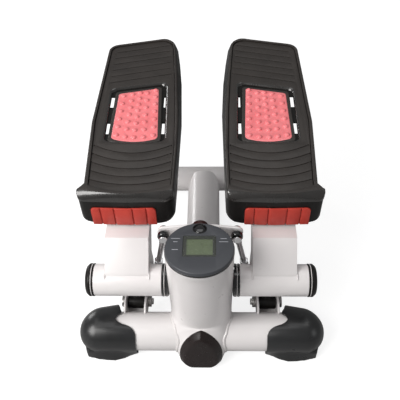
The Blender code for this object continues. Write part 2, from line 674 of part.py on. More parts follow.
def hollow_outline():
    """The hollow under the deck, inside the skirt and behind the thick toe."""
    front = TOE_FRONT + TOE_WALL
    corners = [(0.0405, front, 0.011), (0.1630, front, 0.011), (0.1705, 0.235, 0), (0.1650, 0.436, 0.018),
               (0.0525, 0.4605, 0.022), (0.0415, 0.360, 0), (0.0380, 0.260, 0), (0.0385, 0.177, 0)]
    return [(x, y - RIM_TOE_Y) for x, y in rounded(corners)]


def tread_outline(inset=0.0):
    """The recess that holds the tread: its toe edge bows towards the toe."""
    corners = []
    for s in (-1, -0.67, -0.33, 0, 0.33, 0.67, 1):
        corners.append((TREAD_MID_X + (TREAD_HALF_TOE - inset) * s,
                        TREAD_TOE_MID + TREAD_TOE_BOW * s * s + inset, 0))
    corners += [(0.1685 - inset, 0.235, 0), (0.1632 - inset, 0.4345 - inset, 0.016),
                (0.0545 + inset, 0.4588 - inset, 0.020), (0.0448 + inset, 0.320, 0),
                (0.0400 + inset, 0.215, 0)]
    return [(x, y - RIM_TOE_Y) for x, y in rounded(corners)]


def lip_outline():
    """The pedal's outline at rim height, where the toe is drawn back to the top of the slanted lip."""
    points = []
    for x, y in pedal_outline():
        share = (x - PEDAL_MID_X) / PEDAL_HALF_WIDTH
        lip = LIP_TOP + LIP_BOW * share ** 2 - RIM_TOE_Y
        points.append((x + inner_draft(x, y), max(y, lip)))
    return points


TOE_CORNER = [(-0.0075, 0.0240), (0.0055, 0.0080), (0.0145, 0.0020), (0.0270, -0.0015)]


def front_profile(inset):
    """The toe seen from the front, as (x, z) from the rim, with its two lower corners cut round."""
    left, right = [], []
    for reach, rise in TOE_CORNER:
        height = -SKIRT_TOE + rise + inset * 0.8
        left.append((0.0375 + reach + inset * 0.8, height))
        right.append((0.1757 - reach - inset * 0.8, height))
    if inset:
        left.append((left[-1][0], -0.085))
        right.append((right[-1][0], -0.085))
    return [(0.015, 0.02), (0.015, -0.020)] + left + right[::-1] + [(0.198, -0.020), (0.198, 0.02)]


def toe_prism(inset):
    item = flat(front_profile(inset), 0.42)
    item.data.transform(Matrix.Translation((0, 0.40, 0)) @ Matrix.Rotation(math.radians(90), 4, "X"))
    return on_pedal(item)


def on_pedal(item):
    """Move a piece drawn with z = 0 at the rim and y = 0 at the toe line onto the tilted pedal."""
    place = Matrix.Translation((0, RIM_TOE_Y, RIM_TOE_Z)) @ Matrix.Rotation(PEDAL_TILT, 4, "X")
    item.data.transform(place)
    return item


def slab(outline, low, high):
    item = flat(outline, high - low)
    item.data.transform(Matrix.Translation((0, 0, low)))
    return on_pedal(item)


def window_outline():
    near, far_in, far_out = 0.192 - RIM_TOE_Y, 0.335 - RIM_TOE_Y, 0.318 - RIM_TOE_Y
    return rounded([(0.0535, near, 0.006), (0.102, near - 0.007, 0), (0.1520, near, 0.006),
                    (0.1530, far_out, 0.009), (0.0575, far_in, 0.009)])


def pad_outline():
    near, far_in, far_out = 0.197 - RIM_TOE_Y, 0.3184 - RIM_TOE_Y, 0.305 - RIM_TOE_Y
    return rounded([(0.0668, near, 0.005), (0.0855, near - 0.0058, 0), (0.103, near - 0.0075, 0),
                    (0.1205, near - 0.0058, 0), (0.1392, near, 0.005), (0.1376, far_out, 0.005),
                    (0.0722, far_in, 0.005)])


def slot_boxes():
    """Two slots right through the deck on each side of the pad, with a wide crossbar between them."""
    boxes = []
    for low_x, high_x in ((0.0570, 0.0625), (0.1440, 0.1500)):
        for near, far in ((0.211, 0.238), (0.274, 0.302)):
            boxes.append(on_pedal(box((low_x, near - RIM_TOE_Y, -0.03), (high_x, far - RIM_TOE_Y, 0.01))))
    return boxes


def pedal_solid():
    deck = TREAD_DEPTH + PLATE_THICK
    rings = []
    for outline, height in ((pedal_outline(), -SKIRT_TOE), (pedal_outline(), -LIP_DROP), (lip_outline(), 0)):
        rings.append([Vector((x, y, height)) for x, y in outline])
    shell = keep(on_pedal(ring_loft(rings)), toe_prism(0))
    cut(shell, slab(tread_outline(), -TREAD_DEPTH, 0.01))
    hollow = slab(hollow_outline(), -SKIRT_TOE - 0.01, -deck)
    cut(shell, keep(hollow, toe_prism(SKIRT_WALL)))
    skirt = side_plate([(0.020, -SKIRT_TOE - 0.0005), (0.062, -0.040), (0.40, -SKIRT_HEEL), (0.40, -0.09),
                        (0.020, -0.09)],
                       0, 0.2)
    cut(shell, on_pedal(skirt), *slot_boxes())
    return shell


def make_toe_insert():
    """A strip of five panels' width on the toe's front face, down to its lower edge."""
    points = []
    for k in range(9):
        x = INSERT_MID_X + INSERT_HALF * (k / 4 - 1)
        bow = TOE_BOW * abs(x - PEDAL_MID_X) / PEDAL_HALF_WIDTH
        points.append((x, TOE_FRONT + bow - RIM_TOE_Y))
    strip = [(x, y - 0.0020) for x, y in points] + [(x, y - GAP * 1.5) for x, y in points[::-1]]
    return slab(strip, -SKIRT_TOE + 0.0005, -INSERT_TOP)


def make_pedal(side, sign, pivot):
    shell = mirrored(solidified(pedal_solid()), sign)
    finish(shell, f"pedal_shell_{side}", "black_plastic", pivot)
    tread = slab(tread_outline(GAP), -TREAD_DEPTH + GAP, -0.0025)
    cut(tread, slab(window_outline(), -0.02, 0.01))
    flip_with_tools(tread, sign)
    finish(tread, f"tread_{side}", "tread_rubber", pivot)
    pad = slab(pad_outline(), -TREAD_DEPTH + GAP, 0.0005)
    finish(mirrored(pad, sign), f"massage_pad_{side}", "coral_rubber", pivot)
    finish(mirrored(make_toe_insert(), sign), f"toe_insert_{side}", "red_plastic", pivot)


# ---------------------------------------------------------------- dampers and tie rods

def make_bracket(side, sign):
    y, z = DAMPER_FOOT.yz
    cheek = rounded([(0.014, 0.058, 0), (0.030, 0.067, 0.006), (y + 0.012, z + 0.013, 0.010),
                     (y + 0.012, 0.030, 0.004), (0.024, 0.030, 0)])
    bracket = side_plate(cheek, DAMPER_X - 0.0175, DAMPER_X + 0.0175)
    cut(bracket, box((DAMPER_X - 0.0145, 0, 0.033), (DAMPER_X + 0.0145, 0.1, 0.1)))
    cut(bracket, cross_cutter(0, FRONT_TUBE_R))
    cut(bracket, rod((0.05, y, z), (0.15, y, z), DAMPER_PIN_R + GAP, 20))
    flip_with_tools(bracket, sign)
    finish(bracket, f"damper_bracket_{side}", "white_paint")


def make_lower_bolts():
    start = DAMPER_X - 0.0270
    profile = [(0, 0), (DAMPER_PIN_R, 0), (DAMPER_PIN_R, 0.0032), (0.009, 0.0032), (0.009, 0.0092),
               (DAMPER_PIN_R, 0.0092), (DAMPER_PIN_R, 0.0448), (0.009, 0.0448), (0.009, 0.050), (0, 0.050)]
    for side, sign in SIDES:
        bolt = mirrored(turned(profile, (start, *DAMPER_FOOT.yz), X_AXIS, 18), sign)
        finish(bolt, f"damper_lower_bolt_{side}", "steel")


def damper_axis():
    return (DAMPER_HEAD - DAMPER_FOOT).normalized()


def make_damper(side, sign, body_pivot):
    axis = damper_axis()
    reach = (DAMPER_HEAD - DAMPER_FOOT).length
    body_top = 0.128
    barrel = turned([(0, 0.0140), (0.0120, 0.0140), (0.0155, 0.0180), (0.0155, body_top - 0.004),
                     (0.0130, body_top),
                     (0.0068, body_top), (0.0068, 0.040), (0, 0.040)], DAMPER_FOOT, axis, 20)
    eye = rod(DAMPER_FOOT - X_AXIS * 0.013, DAMPER_FOOT + X_AXIS * 0.013, 0.0115, 16)
    join(barrel, eye, rod(DAMPER_FOOT + axis * 0.002, DAMPER_FOOT + axis * 0.0150, 0.010, 20))
    cut(barrel, rod(DAMPER_FOOT - X_AXIS * 0.03, DAMPER_FOOT + X_AXIS * 0.03, DAMPER_PIN_R + GAP, 20))
    flip_with_tools(barrel, sign)
    finish(barrel, f"damper_cylinder_{side}", "black_plastic", body_pivot)
    piston = turned([(0, 0.062), (0.006, 0.062), (0.006, reach - 0.009), (0, reach - 0.009)], DAMPER_FOOT,
                    axis, 20)
    join(piston, rod(DAMPER_HEAD - X_AXIS * 0.008, DAMPER_HEAD + X_AXIS * 0.008, 0.0125, 24))
    cut(piston, rod(DAMPER_HEAD - X_AXIS * 0.02, DAMPER_HEAD + X_AXIS * 0.02, DAMPER_PIN_R + 0.0018, 24))
    flip_with_tools(piston, sign)
    finish(piston, f"piston_rod_{side}", "chrome", body_pivot)


def make_tie_rod(side, sign, pivot):
    top = Vector((ROCKER_HALF_SPAN, ROD_TOP_Y, ROCKER_Z))
    line = (top - ROD_PIN).normalized()
    shank = rod(ROD_PIN + line * 0.006, top - line * 0.006, 0.004, 16)
    low_eye = rod(ROD_PIN - X_AXIS * 0.0045, ROD_PIN + X_AXIS * 0.0045, 0.009, 16)
    top_eye = rod(top - Y_AXIS * 0.0042, top + Y_AXIS * 0.0042, 0.0085, 16)
    join(shank, low_eye, top_eye)
    cut(shank, rod(ROD_PIN - X_AXIS * 0.02, ROD_PIN + X_AXIS * 0.02, 0.004 + GAP, 14))
    cut(shank, rod(top - Y_AXIS * 0.02, top + Y_AXIS * 0.02, 0.0034 + 0.0014, 20))
    flip_with_tools(shank, sign)
    finish(shank, f"tie_rod_{side}", "chrome", pivot)


def make_sensor():
    sensor = box((-0.007, 0.0545, 0.176), (0.007, 0.0605, 0.187))
    finish(sensor, "reed_sensor", "black_plastic")


# ---------------------------------------------------------------- assembly

clear_scene()
PARTS = new_collection("mini_stepper")
CUTTERS = new_collection("cutters")
MACHINE = new_empty("machine", (0, FRONT_Y, 0))
ROCKER_PIVOT = new_empty("rocker_pivot", (0, ROCKER_Y, ROCKER_Z), MACHINE)
BUTTON_PIVOT = new_empty("button_pivot", console_matrix() @ Vector((0, BUTTON_Y, 0)), MACHINE)

make_tubes()
make_end_caps()
make_column()
make_nose_cap()
make_console()
make_button()
make_axle()
make_rocker_mount()
make_rocker()
make_sensor()
make_lower_bolts()
for SIDE, SIGN in SIDES:
    ARM_PIVOT = new_empty(f"arm_pivot_{SIDE}", (0, PIVOT_Y, PIVOT_Z), MACHINE)
    DAMPER_PIVOT = new_empty(f"damper_pivot_{SIDE}", (SIGN * DAMPER_FOOT.x, *DAMPER_FOOT.yz), MACHINE)
    ROD_PIVOT = new_empty(f"tie_rod_pivot_{SIDE}", (SIGN * ROD_PIN.x, *ROD_PIN.yz), MACHINE)
    make_arm(SIDE, SIGN, ARM_PIVOT)
    make_pedal(SIDE, SIGN, ARM_PIVOT)
    make_bracket(SIDE, SIGN)
    make_damper(SIDE, SIGN, DAMPER_PIVOT)
    make_tie_rod(SIDE, SIGN, ROD_PIVOT)
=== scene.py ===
"""Looks of a mini stepper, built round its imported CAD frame.

Pieces are drawn in machine coordinates: metres, y from the front stabiliser's axis, z from the floor.
place() moves each one to the row frame, hangs it on its body and gives it its finish.
"left" is the user's left, which is +X.
"""

import json
import math

import bmesh
import bpy
from mathutils import Matrix, Vector
from mathutils.bvhtree import BVHTree


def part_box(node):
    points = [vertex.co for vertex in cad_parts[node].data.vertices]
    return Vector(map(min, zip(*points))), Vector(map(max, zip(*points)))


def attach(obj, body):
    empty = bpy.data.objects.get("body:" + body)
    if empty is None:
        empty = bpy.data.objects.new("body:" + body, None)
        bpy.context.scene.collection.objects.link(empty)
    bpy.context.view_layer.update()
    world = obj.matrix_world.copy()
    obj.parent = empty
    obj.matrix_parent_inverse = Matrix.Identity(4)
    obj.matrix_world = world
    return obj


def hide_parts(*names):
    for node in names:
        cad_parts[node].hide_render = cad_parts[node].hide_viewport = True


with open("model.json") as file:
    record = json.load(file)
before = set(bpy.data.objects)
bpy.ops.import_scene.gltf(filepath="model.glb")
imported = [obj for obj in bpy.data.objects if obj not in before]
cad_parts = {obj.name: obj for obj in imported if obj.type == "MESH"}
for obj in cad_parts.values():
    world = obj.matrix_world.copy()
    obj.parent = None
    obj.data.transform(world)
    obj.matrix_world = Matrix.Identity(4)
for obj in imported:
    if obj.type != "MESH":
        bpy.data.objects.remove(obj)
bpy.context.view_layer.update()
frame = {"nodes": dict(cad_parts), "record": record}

X_AXIS, Y_AXIS, Z_AXIS = Vector((1, 0, 0)), Vector((0, 1, 0)), Vector((0, 0, 1))
LOW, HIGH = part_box("front_stabiliser_tube")
TO_ROW = Matrix.Translation((0, (LOW.y + HIGH.y) / 2, 0))      # machine to row coordinates
SIDES = {"left": 1, "right": -1}                 # and the sign of x there
COLLECTION = bpy.context.scene.collection


# ---------------------------------------------------------------- materials

def node(tree, kind, **inputs):
    made = tree.nodes.new(kind)
    for name, value in inputs.items():
        made.inputs[name.replace("_", " ")].default_value = value
    return made


def noise_node(tree, place, scale, detail=3.0, stretch=(1, 1, 1)):
    """A noise value over the object's own space; scale is per metre."""
    mapping = node(tree, "ShaderNodeMapping")
    mapping.inputs["Scale"].default_value = stretch
    tree.links.new(place, mapping.inputs["Vector"])
    made = node(tree, "ShaderNodeTexNoise", Scale=scale, Detail=detail, Roughness=0.55)
    tree.links.new(mapping.outputs["Vector"], made.inputs["Vector"])
    return made.outputs["Fac"]


def ramp(tree, fac, low, high, start=0.3, end=0.7):
    made = tree.nodes.new("ShaderNodeMapRange")
    made.inputs["From Min"].default_value, made.inputs["From Max"].default_value = start, end
    made.inputs["To Min"].default_value, made.inputs["To Max"].default_value = low, high
    tree.links.new(fac, made.inputs["Value"])
    return made.outputs["Result"]


def surface(name, colour, rough, *, metallic=0.0, second=None, mottle=14.0, rough_spread=0.06,
        rough_scale=60.0, grain=1400.0, grain_depth=4e-5, grain_strength=0.35, peel=0.0, stretch=(1, 1, 1),
        dust=0.0, coat=0.0, coat_rough=0.1, specular=0.5, subsurface=0.0, alpha=1.0):
    """A finish with colour that drifts, roughness that varies and a fine moulded or painted grain."""
    made = bpy.data.materials.new(name)
    made.use_nodes = True
    tree = made.node_tree
    shader = tree.nodes["Principled BSDF"]
    place = tree.nodes.new("ShaderNodeTexCoord").outputs["Object"]
    second = second or tuple(channel * 0.82 for channel in colour)
    mix = tree.nodes.new("ShaderNodeMix")
    mix.data_type = "RGBA"
    mix.inputs[6].default_value, mix.inputs[7].default_value = (*colour, 1), (*second, 1)
    tree.links.new(ramp(tree, noise_node(tree, place, mottle), 0.0, 1.0), mix.inputs[0])
    base = mix.outputs[2]
    if dust:
        lift = tree.nodes.new("ShaderNodeMix")
        lift.data_type = "RGBA"
        lift.inputs[7].default_value = (0.42, 0.41, 0.4, 1)
        tree.links.new(ramp(tree, noise_node(tree, place, 900.0, 2.0), 0.0, dust, 0.6, 0.8), lift.inputs[0])
        tree.links.new(base, lift.inputs[6])
        base = lift.outputs[2]
    tree.links.new(base, shader.inputs["Base Color"])
    wear = noise_node(tree, place, rough_scale, 4.0, stretch)
    tree.links.new(ramp(tree, wear, rough - rough_spread, rough + rough_spread), shader.inputs["Roughness"])
    fine = node(tree, "ShaderNodeBump", Strength=grain_strength, Distance=grain_depth)
    tree.links.new(noise_node(tree, place, grain, 2.0, stretch), fine.inputs["Height"])
    if peel:
        broad = node(tree, "ShaderNodeBump", Strength=0.25, Distance=peel)
        tree.links.new(noise_node(tree, place, 260.0, 1.0), broad.inputs["Height"])
        tree.links.new(broad.outputs["Normal"], fine.inputs["Normal"])
    tree.links.new(fine.outputs["Normal"], shader.inputs["Normal"])
    for socket, value in (("Metallic", metallic), ("Coat Weight", coat), ("Coat Roughness", coat_rough),
            ("Alpha", alpha), ("Specular IOR Level", specular), ("Subsurface Weight", subsurface),
            ("IOR", 1.5)):
        shader.inputs[socket].default_value = value
    if subsurface:
        shader.inputs["Subsurface Radius"].default_value = (0.004, 0.0012, 0.0012)
        shader.inputs["Subsurface Scale"].default_value = 1.0
    return made


WHITE = surface("white_powder_coat", (0.77, 0.745, 0.74), 0.33, second=(0.73, 0.7, 0.7), peel=6e-5,
    grain=2600.0, grain_depth=1e-5, coat=0.35, coat_rough=0.16)
CHARCOAL = surface("charcoal_moulding", (0.0155, 0.016, 0.017), 0.33, second=(0.011, 0.0115, 0.012),
    grain=1500.0, coat=0.2, coat_rough=0.28)
BLACK = surface("black_moulding", (0.0075, 0.0065, 0.006), 0.4, second=(0.005, 0.0045, 0.004), grain=1900.0,
    grain_depth=2e-5, specular=0.25)
LIP = surface("polished_lip", (0.02, 0.018, 0.017), 0.28, second=(0.014, 0.013, 0.012), grain=1900.0,
    grain_depth=1e-5, coat=0.9, coat_rough=0.12)
NOSE_BROWN = surface("nose_moulding", (0.016, 0.0085, 0.0075), 0.3, second=(0.01, 0.0055, 0.005),
    grain=1500.0, specular=0.5)
SLATE = surface("slate_moulding", (0.056, 0.059, 0.067), 0.34, second=(0.047, 0.05, 0.057), grain=1700.0,
    grain_depth=2e-5)
TREAD = surface("tread_rubber", (0.033, 0.028, 0.025), 0.5, second=(0.023, 0.0195, 0.0175), mottle=22.0,
    grain=1100.0, grain_depth=9e-5, grain_strength=0.5, dust=0.08, specular=0.4)
CORAL = surface("coral_rubber", (0.86, 0.235, 0.25), 0.3, second=(0.8, 0.19, 0.205), mottle=30.0,
    grain=1500.0, grain_depth=2e-5, subsurface=0.12)
BRICK = surface("brick_red_moulding", (0.52, 0.055, 0.038), 0.4, second=(0.45, 0.042, 0.03), mottle=40.0,
    grain=1200.0, stretch=(1, 1, 0.35), grain_depth=5e-5, specular=0.25)
CAP_RED = surface("dark_red_moulding", (0.03, 0.007, 0.006), 0.28, grain=1500.0, grain_depth=1e-5)
CHROME = surface("chrome_plate", (0.72, 0.72, 0.73), 0.14, metallic=1.0, second=(0.66, 0.66, 0.67),
    rough_spread=0.05, grain=900.0, grain_depth=4e-6)
STEEL = surface("zinc_plate", (0.46, 0.45, 0.44), 0.36, metallic=1.0, second=(0.36, 0.35, 0.34),
    rough_spread=0.1, grain=1600.0, grain_depth=2e-5)
GLOSS_BLACK = surface("gloss_black", (0.01, 0.01, 0.011), 0.1, rough_spread=0.03, grain=600.0,
    grain_depth=3e-6, coat=0.5, coat_rough=0.05)
LCD = surface("liquid_crystal", (0.085, 0.112, 0.052), 0.3, second=(0.065, 0.088, 0.04), mottle=90.0,
    grain=2400.0, grain_depth=4e-6, coat=0.4, coat_rough=0.05)
WINDOW = surface("clear_window", (0.6, 0.66, 0.58), 0.06, rough_spread=0.02, grain=500.0, grain_depth=2e-6,
    alpha=0.04)
PALE_MARK = surface("pale_marking", (0.36, 0.37, 0.4), 0.35, grain=1500.0, grain_depth=5e-6)
NYLON = surface("natural_nylon", (0.72, 0.7, 0.62), 0.45, grain=1500.0, subsurface=0.05)
BOARD = surface("solder_mask", (0.02, 0.14, 0.05), 0.35)
SOLE = surface("sole_rubber", (0.02, 0.02, 0.021), 0.65, grain=900.0, grain_depth=0.0001)
WELD = surface("painted_weld", (0.74, 0.715, 0.71), 0.38, second=(0.66, 0.63, 0.625), mottle=200.0,
    grain=700.0, grain_depth=0.0001, coat=0.25)

SLOT_LOOKS = {"white_paint": WHITE, "charcoal_plastic": CHARCOAL, "black_plastic": BLACK,
    "slate_plastic": SLATE, "tread_rubber": TREAD, "coral_rubber": CORAL, "red_plastic": BRICK,
    "chrome": CHROME, "steel": STEEL, "clear_window": WINDOW, "lcd": LCD, "board": BOARD,
    "bush_plastic": NYLON}


def paint_cad_nodes():
    """Every CAD node gets the finish of its slot, whether or not a piece replaces it."""
    for part in frame["record"]["subparts"]:
        item = frame["nodes"][part["node"]]
        item.data.materials.clear()
        item.data.materials.append(SLOT_LOOKS[part["material_slot"]])


# ---------------------------------------------------------------- meshes

SHARP = math.radians(32)                # edges sharper than this aren't smoothed over


def from_bmesh(shape, name="piece"):
    bmesh.ops.recalc_face_normals(shape, faces=shape.faces)
    mesh = bpy.data.meshes.new(name)
    shape.to_mesh(mesh)
    shape.free()
    mesh.shade_smooth()
    mesh.set_sharp_from_angle(angle=SHARP)
    item = bpy.data.objects.new(name, mesh)
    COLLECTION.objects.link(item)
    return item


def along(axis):
    return Vector(axis).to_track_quat("Z", "Y").to_matrix().to_4x4()


def turned(profile, place=(0, 0, 0), axis=Z_AXIS, segments=64):
    """A solid of revolution from (radius, height) pairs, closed unless it ends on the axis."""
    shape = bmesh.new()
    open_line = profile[0][0] == 0 and profile[-1][0] == 0
    ring = [shape.verts.new((r, 0, h)) for r, h in profile]
    pairs = list(zip(ring, ring[1:])) + ([] if open_line else [(ring[-1], ring[0])])
    edges = [shape.edges.new(pair) for pair in pairs]
    bmesh.ops.spin(shape, geom=ring + edges, axis=(0, 0, 1), cent=(0, 0, 0), angle=math.tau, steps=segments)
    bmesh.ops.remove_doubles(shape, verts=shape.verts, dist=1e-6)
    bmesh.ops.transform(shape, matrix=Matrix.Translation(place) @ along(axis), verts=shape.verts)
    return from_bmesh(shape)


def softened(corners, arc=5):
    """A profile of (radius, height, rounding) corners as (radius, height) pairs with each corner rounded."""
    points = []
    for i, (x, y, r) in enumerate(corners):
        if r == 0 or i in (0, len(corners) - 1):
            points.append((x, y))
            continue
        before, after = Vector(corners[i - 1][:2]), Vector(corners[i + 1][:2])
        points += [tuple(p) for p in arc_points(before, Vector((x, y)), after, r, arc)]
    return points


def lathe(corners, *more, **named):
    """A solid of revolution from (radius, height, rounding) corners."""
    return turned(softened(corners), *more, **named)


def arc_points(before, here, after, radius, steps):
    back, ahead = (before - here).normalized(), (after - here).normalized()
    half = back.angle(ahead) / 2
    centre = here + (back + ahead).normalized() * (radius / math.sin(half))
    start = here + back * (radius / math.tan(half)) - centre
    end = here + ahead * (radius / math.tan(half)) - centre
    sweep = start.angle_signed(end)
    return [centre + Matrix.Rotation(-sweep * k / steps, 2) @ start for k in range(steps + 1)]


def ring_of(corners, arc=6, edge=6):
    """A closed outline of (x, y, rounding) corners; its count depends only on which corners are rounded."""
    count = len(corners)
    runs = []
    for i, (x, y, r) in enumerate(corners):
        here = Vector((x, y))
        before, after = Vector(corners[i - 1][:2]), Vector(corners[(i + 1) % count][:2])
        runs.append(arc_points(before, here, after, r, arc) if r else [here])
    points = []
    for i, run in enumerate(runs):
        points += run
        ahead = runs[(i + 1) % count][0]
        points += [run[-1].lerp(ahead, k / edge) for k in range(1, edge)]
    return points


def loft(rings, wrap=False):
    """A surface through rings of equal counts, closed at its ends unless it wraps round to the first ring."""
    shape = bmesh.new()
    rows = [[shape.verts.new(point) for point in ring] for ring in rings]
    count = len(rows[0])
    for near, far in zip(rows, rows[1:] + (rows[:1] if wrap else [])):
        for i in range(count):
            j = (i + 1) % count
            shape.faces.new((near[i], near[j], far[j], far[i]))
    if not wrap:
        shape.faces.new(rows[0])
        shape.faces.new(rows[-1])
    return from_bmesh(shape)


def swept(points, radius, segments=12, ripple=0.0):
    """A rod along a line of points, with closed ends; ripple varies its thickness like a weld's."""
    points = [Vector(p) for p in points]
    rings = []
    for i, point in enumerate(points):
        ahead = (points[min(i + 1, len(points) - 1)] - points[max(i - 1, 0)]).normalized()
        turn = ahead.to_track_quat("Z", "Y").to_matrix()
        r = radius * (1 + ripple * math.sin(i * 2.1))
        rings.append([point + turn @ Vector((r * math.cos(a), r * math.sin(a), 0))
            for a in (math.tau * k / segments for k in range(segments))])
    return loft(rings)


def prism(outline, low, high):
    return loft([[Vector((x, y, low)) for x, y in outline], [Vector((x, y, high)) for x, y in outline]])


def box(low, high):
    low, high = Vector(low), Vector(high)
    outline = [(low.x, low.y), (high.x, low.y), (high.x, high.y), (low.x, high.y)]
    return prism(outline, low.z, high.z)


def side_prism(outline, x_low, x_high):
    """An outline given as (y, z), made solid between two x values."""
    item = prism(outline, x_low, x_high)
    item.data.transform(Matrix(((0, 0, 1, 0), (1, 0, 0, 0), (0, 1, 0, 0), (0, 0, 0, 1))))
    return item


def joined(items):
    """Several meshes as one object."""
    shape = bmesh.new()
    for item in items:
        shape.from_mesh(item.data)
        bpy.data.objects.remove(item)
    return from_bmesh(shape)


def made_real(item, sharp=SHARP):
    """Apply an item's modifiers."""
    bpy.context.view_layer.update()
    mesh = bpy.data.meshes.new_from_object(item.evaluated_get(bpy.context.evaluated_depsgraph_get()))
    item.modifiers.clear()
    item.data = mesh
    mesh.shade_smooth()
    mesh.set_sharp_from_angle(angle=sharp)
    return item


def combine(item, other, operation):
    step = item.modifiers.new("combine", "BOOLEAN")
    step.operation, step.solver, step.object = operation, "EXACT", other
    made_real(item)
    bpy.data.objects.remove(other)
    return item


def cut(item, *others):
    for other in others:
        combine(item, other, "DIFFERENCE")
    return item


def bevelled(item, width, segments=2, angle=30):
    """Round the sharp edges, as a mould or a die does."""
    shape = bmesh.new()
    shape.from_mesh(item.data)
    bmesh.ops.remove_doubles(shape, verts=shape.verts, dist=2e-6)
    bmesh.ops.dissolve_limit(shape, angle_limit=math.radians(0.3), verts=shape.verts, edges=shape.edges)
    shape.to_mesh(item.data)
    shape.free()
    step = item.modifiers.new("bevel", "BEVEL")
    step.width, step.segments, step.angle_limit = width, segments, math.radians(angle)
    step.limit_method, step.use_clamp_overlap, step.harden_normals = "ANGLE", True, False
    return made_real(item, math.radians(40))


def place(item, name, body, slot, *replaced, look=None, side=None):
    """Finish a piece drawn in machine coordinates; one with a side is drawn on the left."""
    if side == "right":
        item.data.transform(Matrix.Diagonal((-1, 1, 1, 1)))
        item.data.flip_normals()
    if side:
        name, replaced = f"{name}_{side}", [f"{cad_node}_{side}" for cad_node in replaced]
        body = body if body == "frame" else f"{body}_{side}"
    item.name = name
    item.data.name = name
    item.data.transform(TO_ROW)
    item.data.materials.clear()
    item.data.materials.append(look or SLOT_LOOKS[slot])
    for face in item.data.polygons:
        face.material_index = 0
    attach(item, body)
    if replaced:
        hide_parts(*replaced)
    return item


def stand_in(item, cad_node, body, slot, **more):
    """A piece that takes the place of the CAD node it is named after."""
    return place(item, "visual_" + cad_node, body, slot, cad_node, **more)


def from_cad(node_name):
    """A copy of a CAD node's mesh in machine coordinates, for edges to be worked on."""
    mesh = frame["nodes"][node_name].data.copy()
    mesh.transform(TO_ROW.inverted())
    item = bpy.data.objects.new(node_name + "_copy", mesh)
    COLLECTION.objects.link(item)
    shape = bmesh.new()
    shape.from_mesh(mesh)
    bmesh.ops.remove_doubles(shape, verts=shape.verts, dist=5e-6)
    bmesh.ops.dissolve_limit(shape, angle_limit=math.radians(1.0), verts=shape.verts, edges=shape.edges)
    shape.to_mesh(mesh)
    shape.free()
    return item


def refined(cad_node, body, slot, width, segments=2, name=None, look=None):
    """A CAD node's own shape with its edges rounded."""
    item = bevelled(from_cad(cad_node), width, segments, 40)
    return place(item, name or "visual_" + cad_node, body, slot, cad_node, look=look)


# ---------------------------------------------------------------- base

TUBE_Z = 0.033
FRONT_R, FRONT_HALF = 0.03, 0.1915
REAR_Y, REAR_R, REAR_HALF = 0.348, 0.024, 0.165
TUBE_WALL, CAP_WALL, CAP_DOME, CAP_STEPS = 0.0025, 0.0025, 0.03, 14


def make_tubes():
    for name, y, radius, half in (("front_stabiliser_tube", 0, FRONT_R, FRONT_HALF),
            ("rear_stabiliser_tube", REAR_Y, REAR_R, REAR_HALF)):
        inner, length = radius - TUBE_WALL, half - CAP_DOME - 0.001
        profile = [(inner, -length), (radius - 0.0004, -length), (radius, -length + 0.0004),
            (radius, length - 0.0004), (radius - 0.0004, length), (inner, length)]
        stand_in(turned(profile, (0, y, TUBE_Z), X_AXIS, 96), name, "frame", "white_paint")
    start, end = 0.012, REAR_Y - 0.008
    inner = FRONT_R - TUBE_WALL
    profile = [(inner, start), (FRONT_R, start), (FRONT_R, end), (inner, end)]
    stand_in(turned(profile, (0, 0, TUBE_Z), Y_AXIS, 96), "main_tube", "frame", "white_paint")


def sole_ribs(cap, side, places, near, far):
    for k, x in enumerate(places):
        bar = bevelled(box((x - 0.0012, near, 0.0), (x + 0.0012, far, 0.0006)), 0.0002, 1)
        place(bar, f"{cap}_sole_rib_{k + 1}", "frame", "charcoal_plastic", side=side, look=SOLE)


def dome_steps():
    """An end cap's dome from its crown, as (share of the radius, share of the depth)."""
    angles = (math.radians(90 * k / CAP_STEPS) for k in range(1, CAP_STEPS + 1))
    return [(math.sin(a) ** 0.92, 1 - math.cos(a) ** 1.05) for a in angles]


def make_rear_cap(side):
    y, radius, half = REAR_Y, REAR_R, REAR_HALF
    sleeve_end, foot_low, foot_high, reach = 0.122, 0.124, 0.156, 0.026
    outer = radius + CAP_WALL
    dome = [(0, half)] + [(outer * wide, half - CAP_DOME * deep) for wide, deep in dome_steps()]
    profile = dome + [(outer, sleeve_end + 0.0008), (outer - 0.0008, sleeve_end),
        (radius + 0.0002, sleeve_end), (radius + 0.0002, half - CAP_DOME), (0, half - CAP_DOME + 0.001)]
    cap = turned(profile, (0, y, TUBE_Z), X_AXIS, 96)
    foot = side_prism([(y - reach, 0.0012), (y - reach - 0.001, 0.012), (y - outer * 0.9, 0.022),
        (y + outer * 0.8, 0.022), (y + reach * 0.75, 0.0012)], foot_low, foot_high)
    combine(cap, foot, "UNION")
    bevelled(cap, 0.0011, 3, 38)
    stand_in(cap, "rear_end_cap", "frame", "charcoal_plastic", side=side)
    front, back = y - reach + 0.002, y + reach * 0.68
    sole = side_prism([(front, 0.0002), (front, 0.0016), (back, 0.0016), (back, 0.0002)],
        foot_low + 0.002, foot_high - 0.002)
    bevelled(sole, 0.0004, 1)
    place(sole, "rear_end_cap_sole", "frame", "charcoal_plastic", side=side, look=SOLE)
    sole_ribs("rear_end_cap", side, (foot_low + 0.012, foot_high - 0.012), y - reach * 0.8, y + reach * 0.55)


def between(table, at):
    """A value read off a table of (place, value) pairs."""
    for (a, low), (b, high) in zip(table, table[1:]):
        if a <= at <= b:
            return low + (high - low) * (at - a) / (b - a)
    return table[0][1] if at < table[0][0] else table[-1][1]


